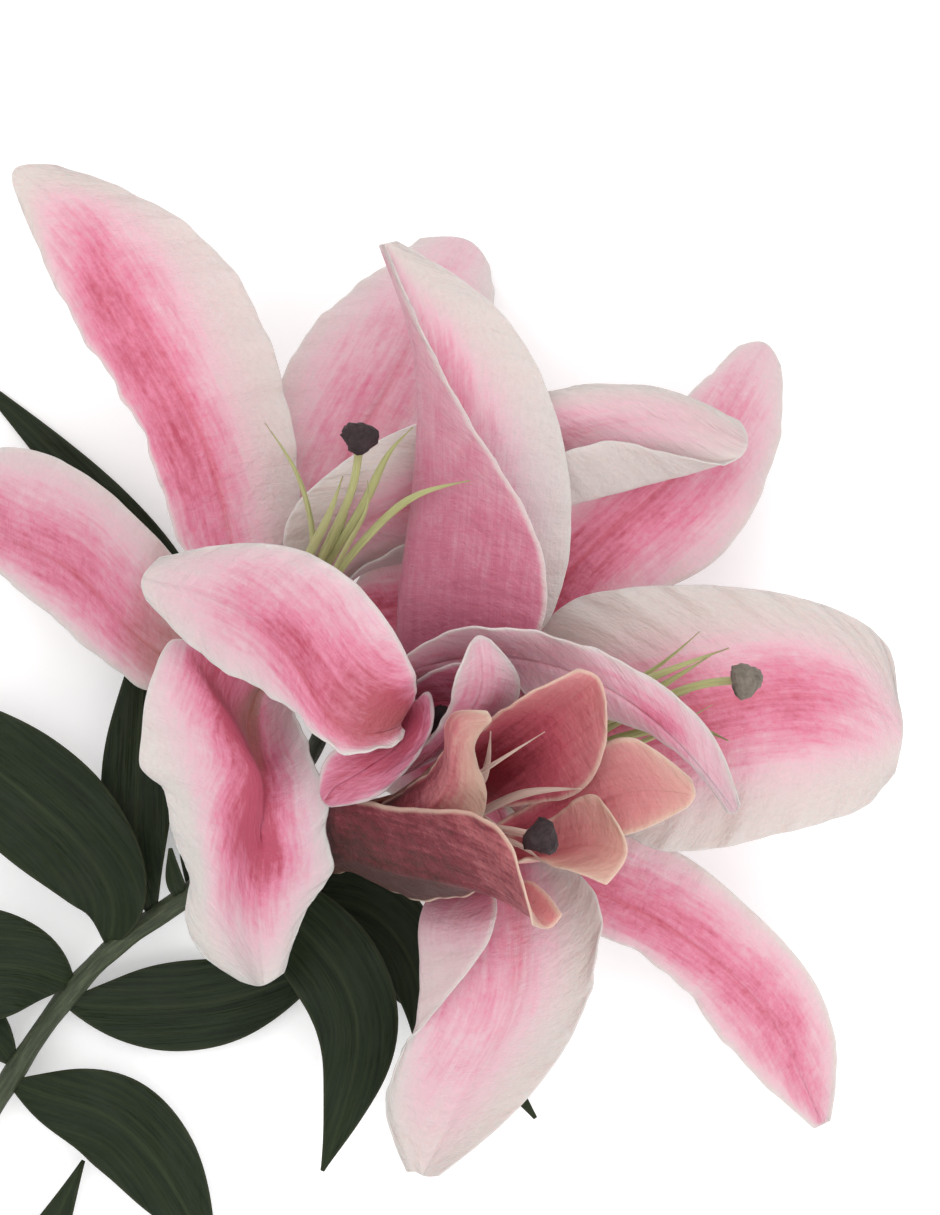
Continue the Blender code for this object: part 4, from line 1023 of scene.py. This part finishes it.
def add_piece(name, points, faces, runs, tints, materials, sides, flat_map, node):
    """Add a smooth piece from points in millimetres, with its surface data, and tie it to the frame."""
    mesh = bpy.data.meshes.new(name)
    mesh.from_pydata((np.asarray(points) - MIDDLE) * MM, [], faces)
    mesh.validate()
    mesh.polygons.foreach_set("use_smooth", [True] * len(mesh.polygons))
    for material in materials:
        mesh.materials.append(material)
    mesh.polygons.foreach_set("material_index", sides)
    for label, values in (("run", runs), ("tints", tints)):
        layer = mesh.attributes.new(label, "FLOAT_VECTOR", "POINT")
        layer.data.foreach_set("vector", np.asarray(values, dtype=float).reshape(-1))
    corners = np.empty(len(mesh.loops), dtype=int)
    mesh.loops.foreach_get("vertex_index", corners)
    places = np.asarray(flat_map)[corners]
    corner_sides = np.repeat(sides, [len(face) for face in faces])
    places[:, 0] = MAP_GAP + (0.5 - 2 * MAP_GAP) * places[:, 0] + 0.5 * corner_sides
    places[:, 1] = MAP_GAP + (1 - 2 * MAP_GAP) * places[:, 1]
    layer = mesh.uv_layers.new(name="OFBake")
    layer.data.foreach_set("uv", places.reshape(-1))
    mesh.update()
    piece = bpy.data.objects.new(name, mesh)
    bpy.context.scene.collection.objects.link(piece)
    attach(piece, "root")
    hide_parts(node)


def add_sheet(name, grid, thickness, rim_share, tint, materials, node):
    """Add a petal or leaf as a sheet over a grid of points, each face tinted by a function of u and v."""
    rows, columns = grid.shape[:2]
    points, faces, sides, source = sheet_mesh(grid, thickness, rim_share)
    u = np.repeat(np.linspace(0, 1, rows), columns)
    v = np.tile(np.linspace(-1, 1, columns), rows)
    along = along_lengths(grid).reshape(-1)
    side = across_lengths(grid)
    margin = np.minimum(side - side[:, :1], side[:, -1:] - side).reshape(-1)
    margin = np.minimum(margin, (1 - u) * along.max())
    runs = np.stack((along, side.reshape(-1), margin), axis=1)[source]
    rim = source[2 * len(u):]
    inner, outer = tint(u, v)
    tints = np.concatenate((inner, outer, inner[rim]))
    places = np.stack(((v + 1) / 2, u), axis=1)
    spread = 0.5 + (places - 0.5) * FACE_MAP_SHARE
    places = np.concatenate((spread, spread, places[rim]))
    add_piece(name, points, faces, runs, tints, materials, sides, places, node)


class Shader:
    """A new material's node tree, with short calls that add a node and return its output."""

    def __init__(self, name, roughness, **settings):
        self.material = bpy.data.materials.new(name)
        self.material.use_nodes = True
        self.tree = self.material.node_tree
        self.surface = self.tree.nodes["Principled BSDF"]
        self.surface.inputs["Roughness"].default_value = roughness
        for label, value in settings.items():
            self.surface.inputs[label.replace("_", " ")].default_value = value

    def link(self, value, socket):
        """Join an output to a socket, or set a plain value on it."""
        if isinstance(value, bpy.types.NodeSocket):
            self.tree.links.new(value, socket)
        else:
            socket.default_value = value

    def attribute(self, name):
        """Return the three parts of a vector that the mesh holds."""
        node = self.tree.nodes.new("ShaderNodeAttribute")
        node.attribute_name = name
        split = self.tree.nodes.new("ShaderNodeSeparateXYZ")
        self.tree.links.new(node.outputs["Vector"], split.inputs[0])
        return split.outputs[0], split.outputs[1], split.outputs[2]

    def vector(self, x, y, z):
        """Return a vector made of three numbers."""
        node = self.tree.nodes.new("ShaderNodeCombineXYZ")
        for k, value in enumerate((x, y, z)):
            self.link(value, node.inputs[k])
        return node.outputs[0]

    def stretched(self, along, across, scales):
        """Return a place for noise with its own scale along and across the surface."""
        return self.vector(self.maths("MULTIPLY", along, scales[0]),
                           self.maths("MULTIPLY", across, scales[1]), 0.0)

    def wrapped(self, along, turn, scale):
        """Return a place for noise that runs along a tube at a scale and has no seam round it."""
        return self.vector(self.maths("MULTIPLY", along, scale), self.maths("COSINE", turn),
                           self.maths("SINE", turn))

    def maths(self, operation, first, second=0.0, clamp=False):
        """Return a sum, product or other result of two numbers."""
        node = self.tree.nodes.new("ShaderNodeMath")
        node.operation = operation
        node.use_clamp = clamp
        self.link(first, node.inputs[0])
        self.link(second, node.inputs[1])
        return node.outputs[0]

    def spread(self, value, low, high, start=0.0, end=1.0):
        """Return a number that goes smoothly from start to end as value goes from low to high."""
        node = self.tree.nodes.new("ShaderNodeMapRange")
        node.interpolation_type = "SMOOTHSTEP"
        for label, given in (("From Min", low), ("From Max", high), ("To Min", start), ("To Max", end)):
            node.inputs[label].default_value = given
        self.link(value, node.inputs["Value"])
        return node.outputs["Result"]

    def noise(self, where, scale, detail=3.0, roughness=0.55):
        """Return noise from 0 to 1 about a place."""
        node = self.tree.nodes.new("ShaderNodeTexNoise")
        node.inputs["Scale"].default_value = scale
        node.inputs["Detail"].default_value = detail
        node.inputs["Roughness"].default_value = roughness
        self.link(where, node.inputs["Vector"])
        return node.outputs["Fac"]

    def ramp(self, value, stops):
        """Return a colour read off a ramp of (place, colour) stops."""
        node = self.tree.nodes.new("ShaderNodeValToRGB")
        points = node.color_ramp.elements
        while len(points) < len(stops):
            points.new(0.5)
        for point, (place, colour) in zip(points, stops):
            point.position = place
            point.color = (*colour, 1)
        self.link(value, node.inputs[0])
        return node.outputs[0]

    def mix(self, share, first, second, blend="MIX"):
        """Return two colours mixed by share."""
        node = self.tree.nodes.new("ShaderNodeMix")
        node.data_type = "RGBA"
        node.blend_type = blend
        self.link(share, node.inputs[0])
        for value, socket in ((first, node.inputs[6]), (second, node.inputs[7])):
            self.link((*value, 1) if isinstance(value, tuple) else value, socket)
        return node.outputs[2]

    def bump(self, height, depth, below=None):
        """Return a bumped normal: height 0 to 1 stands for depth in millimetres."""
        node = self.tree.nodes.new("ShaderNodeBump")
        node.inputs["Distance"].default_value = depth * MM
        self.link(height, node.inputs["Height"])
        if below is not None:
            self.link(below, node.inputs["Normal"])
        return node.outputs[0]

    def finish(self, colour, roughness=None, normal=None):
        """Give the surface its colour, roughness and normal, and return the material."""
        self.link(colour, self.surface.inputs["Base Color"])
        if roughness is not None:
            self.link(roughness, self.surface.inputs["Roughness"])
        if normal is not None:
            self.link(normal, self.surface.inputs["Normal"])
        return self.material


def petal_material(name, palette, mottle, sheen, gloss):
    """Return a petal's finish: pale margins, a pale edge line that is partly painted highlight, a mottled
    coloured band, a midrib line and fine veins.
    """
    pale, light, strong, deep, midrib, green = palette
    shader = Shader(name, 0.5, Subsurface_Weight=0.35, Sheen_Weight=sheen, Sheen_Roughness=0.45,
                    Specular_IOR_Level=gloss)
    shader.surface.inputs["Subsurface Radius"].default_value = PETAL_SCATTER
    shader.surface.inputs["Subsurface Scale"].default_value = 1.0
    along, across, margin = shader.attribute("run")
    band, base, line = shader.attribute("tints")
    cloud = shader.noise(shader.stretched(along, across, PETAL_CLOUD), 1.0, 4.0, 0.6)
    streak = shader.noise(shader.stretched(along, across, PETAL_STREAK), 1.0, 4.0, 0.65)
    grain = shader.noise(shader.stretched(along, across, PETAL_GRAIN), 1.0, 3.0, 0.65)
    wander = shader.maths("ADD", shader.maths("MULTIPLY", cloud, CLOUD_SHARE),
                          shader.maths("MULTIPLY", streak, STREAK_SHARE))
    wander = shader.maths("ADD", wander, shader.maths("MULTIPLY", grain, GRAIN_SHARE))
    wander = shader.maths("MULTIPLY", shader.maths("SUBTRACT", wander, MOTTLE_MIDDLE), mottle)
    wander = shader.maths("MULTIPLY", wander, shader.spread(band, 0.0, 0.45, 0.1, 1.0))
    tint = shader.maths("ADD", band, wander, clamp=True)
    colour = shader.ramp(tint, ((0.0, pale), (0.30, light), (0.70, strong), (1.0, deep)))
    line = shader.maths("MULTIPLY", line, shader.spread(streak, 0.3, 0.6, 0.3, 1.0))
    colour = shader.mix(line, colour, midrib)
    # A thin pale line along each edge: partly the petal's cream edge, partly a painted highlight where the
    # edge catches the light.
    colour = shader.mix(shader.spread(margin, 0.2, 1.5, 0.7, 0.0), colour, pale)
    base = shader.maths("MULTIPLY", base, shader.spread(cloud, 0.2, 0.6, 0.6, 1.0))
    colour = shader.mix(base, colour, green)
    tone = shader.ramp(grain, ((0.25, (0.93, 0.90, 0.91)), (0.7, (1.0, 1.0, 1.0))))
    colour = shader.mix(1.0, colour, tone, "MULTIPLY")
    fibre = shader.noise(shader.stretched(along, across, PETAL_FIBRE), 1.0, 3.0, 0.6)
    crease = shader.noise(shader.stretched(along, across, PETAL_CREASE), 1.0, 5.0, 0.65)
    normal = shader.bump(fibre, PETAL_FIBRE_DEPTH)
    normal = shader.bump(crease, PETAL_CREASE_DEPTH, normal)
    return shader.finish(colour, shader.spread(crease, 0.3, 0.7, 0.42, 0.58), normal)


def leaf_material():
    """Return the leaves' finish: dark green with faint veins that run along it and a satin gloss."""
    shader = Shader("leaf_green", 0.45, Specular_IOR_Level=0.16)
    along, across, margin = shader.attribute("run")
    streak = shader.noise(shader.stretched(along, across, LEAF_STREAK), 1.0, 4.0)
    patch = shader.noise(shader.stretched(along, across, LEAF_PATCH), 1.0, 4.0)
    middle = shader.spread(shader.maths("ABSOLUTE", across), 0.2, 0.8, 0.5, 0.0)
    colour = shader.ramp(streak, LEAF_VEINS)
    colour = shader.mix(shader.spread(patch, 0.45, 0.7, 0.0, 0.5), colour, LEAF_BLOTCH)
    colour = shader.mix(middle, colour, LEAF_MIDRIB)
    colour = shader.mix(shader.spread(margin, 0.1, 0.7, 0.4, 0.0), colour, LEAF_MARGIN)
    fibre = shader.noise(shader.stretched(along, across, LEAF_FIBRE), 1.0, 3.0)
    normal = shader.bump(fibre, LEAF_FIBRE_DEPTH)
    normal = shader.bump(patch, LEAF_PATCH_DEPTH, normal)
    return shader.finish(colour, shader.spread(patch, 0.3, 0.7, 0.40, 0.56), normal)


def stem_material():
    """Return the stems' finish: mottled grey-green with brown specks and faint ribs."""
    shader = Shader("stem_green", 0.5, Specular_IOR_Level=0.3)
    along, turn = shader.attribute("run")[:2]
    fibre = shader.noise(shader.wrapped(along, turn, 0.05), 3.5, 4.0)
    speck = shader.noise(shader.wrapped(along, turn, 0.35), 3.0, 4.0, 0.7)
    colour = shader.ramp(fibre, STEM_RIBS)
    colour = shader.mix(shader.spread(speck, 0.55, 0.75, 0.0, 0.6), colour, STEM_SPECK)
    height = shader.maths("ADD", fibre, shader.maths("MULTIPLY", speck, 0.4))
    return shader.finish(colour, shader.spread(speck, 0.3, 0.7, 0.42, 0.62), shader.bump(height, 0.5))


def thread_material(name, colours):
    """Return the finish of filaments and styles: pale, with fine lengthwise fibres."""
    foot, length, tip = colours
    shader = Shader(name, 0.45, Subsurface_Weight=0.1)
    shader.surface.inputs["Subsurface Radius"].default_value = THREAD_SCATTER
    along, turn, share = shader.attribute("run")
    fibre = shader.noise(shader.wrapped(along, turn, 0.05), 3.0, 3.0)
    colour = shader.ramp(share, ((0.0, foot), (0.5, length), (0.92, length), (1.0, tip)))
    tone = shader.ramp(fibre, ((0.2, (0.7, 0.7, 0.66)), (0.8, (1.0, 1.0, 1.0))))
    return shader.finish(shader.mix(1.0, colour, tone, "MULTIPLY"), None, shader.bump(fibre, 0.3))


def stigma_material(name, colours):
    """Return a stigma's finish: matt and finely grained."""
    low, high = colours
    shader = Shader(name, 0.6, Specular_IOR_Level=0.25)
    place = shader.tree.nodes.new("ShaderNodeTexCoord").outputs["Object"]
    grain = shader.noise(place, 900.0, 4.0, 0.7)
    patch = shader.noise(place, 260.0, 3.0)
    height = shader.maths("ADD", grain, patch)
    colour = shader.ramp(shader.maths("MULTIPLY", height, 0.5), ((0.3, low), (0.7, high)))
    return shader.finish(colour, None, shader.bump(height, 0.7))


def leaf_grid(points, half_width, phase):
    """Return the middle surface of a leaf: widest a little below its middle and folded along it."""
    spine = smooth_curve(points, LEAF_ROWS)
    along = np.gradient(spine, axis=0)
    length = np.linalg.norm(along, axis=1).sum()
    across = np.linspace(-1, 1, LEAF_COLUMNS + 1)
    fold = LEAF_FOLD * np.sqrt(across**2 + LEAF_FOLD_ROUNDING) - LEAF_ARCH * across**2
    rows = []
    for number, (point, way) in enumerate(zip(spine, along)):
        fraction = number / LEAF_ROWS
        swell = math.sin(math.pi * fraction**LEAF_WIDEST) ** LEAF_TAPER
        end = LEAF_END_HALF_WIDTH * (1 - LEAF_END_TAPER * fraction)
        half = end + (half_width - LEAF_END_HALF_WIDTH) * swell
        aside = unit(np.cross(way, (0, 0, 1)))
        lift = unit(np.cross(aside, way))
        turn = 2 * math.pi * fraction * length / LEAF_WAVE_LENGTH + phase
        wave = LEAF_WAVE * math.sin(math.pi * fraction)
        wave = wave * np.sin(turn + LEAF_WAVE_LAG * across) * across**2
        rows.append([point + aside * half * v + lift * (half * rise + ripple)
                     for v, rise, ripple in zip(across, fold, wave)])
    return np.array(rows)


def leaf_tint(u, v):
    """Return the tints of a leaf's two faces, which are all nothing."""
    plain = np.zeros((len(u), 3))
    return plain, plain


def add_leaf(name, y, points, half_width, phase, material):
    """Add a leaf that grows from the stem at a height Y and runs through points."""
    centre, along = stem_place(y)
    outward = np.asarray(points[0], dtype=float) - centre
    outward = unit(outward - along * np.dot(outward, along))
    start = centre + outward * STEM_TOP_RADIUS * LEAF_FOOT_SHARE
    grid = leaf_grid([start] + list(points), half_width, phase)
    add_sheet(name.replace("leaf", "blade", 1), grid, LEAF_THICKNESS, LEAF_RIM_SHARE, leaf_tint,
              [material, material], name)


def lower_leaf_points(y, number):
    """Return the points of a lower leaf's midrib, on the right of the stem for odd numbers."""
    centre, along = stem_place(y)
    side = 1 if number % 2 else -1
    aside = unit(np.cross(along, (0, 0, 1))) * side
    return [centre + aside * out + along * on + np.array((0, 0, up))
            for out, on, up in LOWER_LEAF_OFFSETS]


def band_tint(band, u, v):
    """Return how strong a coloured band is at u and v: the centre, the half width, then strengths."""
    centre, half_width, *strengths = band
    strength = np.interp(u, np.linspace(0, 1, len(strengths)), strengths)
    off = np.abs(v - centre * np.sin(np.pi * np.clip(u, 0.05, 0.95)))
    return strength * np.exp(-(off / half_width) ** BAND_EDGE_POWER)


def petal_tint(petal):
    """Return the function of u and v that tints the two faces of one petal."""
    def tint(u, v):
        centre, half_width, *strengths = petal["band"]
        back = petal.get("back") or [centre, half_width] + [OUTER_BAND_SHARE * k for k in strengths]
        spots = sum(amount * np.exp(-((u - at_u) / far_u) ** 2 - ((v - at_v) / far_v) ** 2)
                    for at_u, at_v, far_u, far_v, amount in petal.get("spots", ()))
        inner = np.clip(band_tint(petal["band"], u, v) + spots, 0, MOST_TINT)
        outer = np.clip(band_tint(back, u, v) + spots, 0, MOST_TINT)
        amount, reach, green_half_width = petal.get("green", PLAIN_GREEN)
        base = amount * np.clip(1 - u / reach, 0, 1) ** 0.7 * np.exp(-(v / green_half_width) ** 4)
        line = MIDRIB_STRENGTH * np.exp(-(v / MIDRIB_HALF_WIDTH) ** 2)
        line = line * np.clip(1.3 * inner, 0, 1) * np.clip(1.6 - 1.8 * u, 0, 1)
        return (np.stack((inner, base, line), axis=1),
                np.stack((outer, base, OUTER_MIDRIB_SHARE * line), axis=1))

    return tint


def add_petals(finishes):
    """Add every petal, each with its own finish or else that of its bloom."""
    for name, petal in PETALS.items():
        petal = {**petal, **LOOKS[name]}
        grid = bent(petal, petal_grid(petal))
        is_front = petal["bloom"] == "front"
        inner, outer = finishes[petal.get("finish", "dusty" if is_front else "pink")]
        add_sheet(name + "_blade", grid, PETAL_THICKNESS, PETAL_RIM_SHARE, petal_tint(petal),
                  [inner, outer], name)


def add_floor():
    """Add the pale floor that the spray lies on, glowing a little as painted light that keeps shadows on it
    pale.
    """
    mesh = bpy.data.meshes.new("floor")
    half = FLOOR_HALF_WIDTH
    corners = [(-half, -half, 0), (half, -half, 0), (half, half, 0), (-half, half, 0)]
    mesh.from_pydata(corners, [], [(0, 1, 2, 3)])
    floor = bpy.data.objects.new("floor", mesh)
    bpy.context.scene.collection.objects.link(floor)
    # Painted light: the floor glows at FLOOR_GLOW, which lightens the shadows on it and lights the petals
    # from below.
    shader = Shader("floor_paper", 0.9, Emission_Strength=FLOOR_GLOW)
    shader.surface.inputs["Emission Color"].default_value = (1, 1, 1, 1)
    grain = shader.noise(shader.tree.nodes.new("ShaderNodeTexCoord").outputs["Object"], 400.0, 3.0)
    colour = shader.ramp(grain, ((0.3, (0.90, 0.90, 0.90)), (0.7, (0.93, 0.93, 0.93))))
    mesh.materials.append(shader.finish(colour, None, shader.bump(grain, 0.05)))


def add_light(name, place, size, power):
    """Add a square soft light that faces the flowers."""
    light = bpy.data.lights.new(name, "AREA")
    light.size = size
    light.energy = power
    lamp = bpy.data.objects.new(name, light)
    bpy.context.scene.collection.objects.link(lamp)
    lamp.location = place
    aim = mathutils.Vector(LIGHT_TARGET) - mathutils.Vector(place)
    lamp.rotation_euler = aim.to_track_quat("-Z", "Y").to_euler()


def add_world():
    """Light the scene evenly from all sides."""
    world = bpy.data.worlds.new("studio")
    world.use_nodes = True
    world.node_tree.nodes["Background"].inputs["Color"].default_value = (1, 1, 1, 1)
    world.node_tree.nodes["Background"].inputs["Strength"].default_value = WORLD_STRENGTH
    bpy.context.scene.world = world
    bpy.context.scene.view_settings.view_transform = "Standard"


def add_camera():
    """Look straight down on the flowers from well above."""
    data = bpy.data.cameras.new("camera")
    data.lens = CAMERA_LENS
    camera = bpy.data.objects.new("camera", data)
    camera.location = CAMERA_PLACE
    bpy.context.scene.collection.objects.link(camera)
    bpy.context.scene.camera = camera


pink_inner = petal_material("petal_pink_inside", PINK_INSIDE, mottle=0.57, sheen=0.05, gloss=0.4)
pink_outer = petal_material("petal_pink_outside", PINK_OUTSIDE, mottle=0.4, sheen=0.08, gloss=0.4)
dusty_inner = petal_material("petal_dusty_inside", DUSTY_INSIDE, mottle=0.25, sheen=0.0, gloss=0.25)
dusty_outer = petal_material("petal_dusty_outside", DUSTY_OUTSIDE, mottle=0.6, sheen=0.0, gloss=0.2)
leaf_green = leaf_material()
stem_green = stem_material()
filament_green = thread_material("filament_green", GREEN_THREAD)
filament_cream = thread_material("filament_cream", CREAM_THREAD)
stigma_dark = stigma_material("stigma_dark", DARK_STIGMA)
stigma_grey = stigma_material("stigma_grey", GREY_STIGMA)

add_world()
add_camera()
add_light("key", KEY_PLACE, KEY_SIZE, KEY_POWER)
add_light("fill", FILL_PLACE, FILL_SIZE, FILL_POWER)
add_floor()
add_stem(stem_green)
for bloom_name, bloom in BLOOMS.items():
    add_stalk(bloom_name, bloom, stem_green)
    threads = filament_cream if bloom_name == "front" else filament_green
    tip = stigma_grey if bloom_name == "right" else stigma_dark
    add_pistil(bloom_name, bloom, threads, tip)
    add_stamens(bloom_name, bloom, threads)
add_petals({"pink": (pink_inner, pink_outer), "dusty": (dusty_inner, dusty_outer)})
for number, (leaf_name, (leaf_y, leaf_points, leaf_width)) in enumerate(UPPER_LEAVES.items()):
    add_leaf(leaf_name, leaf_y, leaf_points, leaf_width, number, leaf_green)
for number, leaf_y in enumerate(LOWER_LEAF_YS, start=1):
    add_leaf(f"leaf_lower_{number}", leaf_y, lower_leaf_points(leaf_y, number), LOWER_LEAF_HALF_WIDTH,
             number, leaf_green)
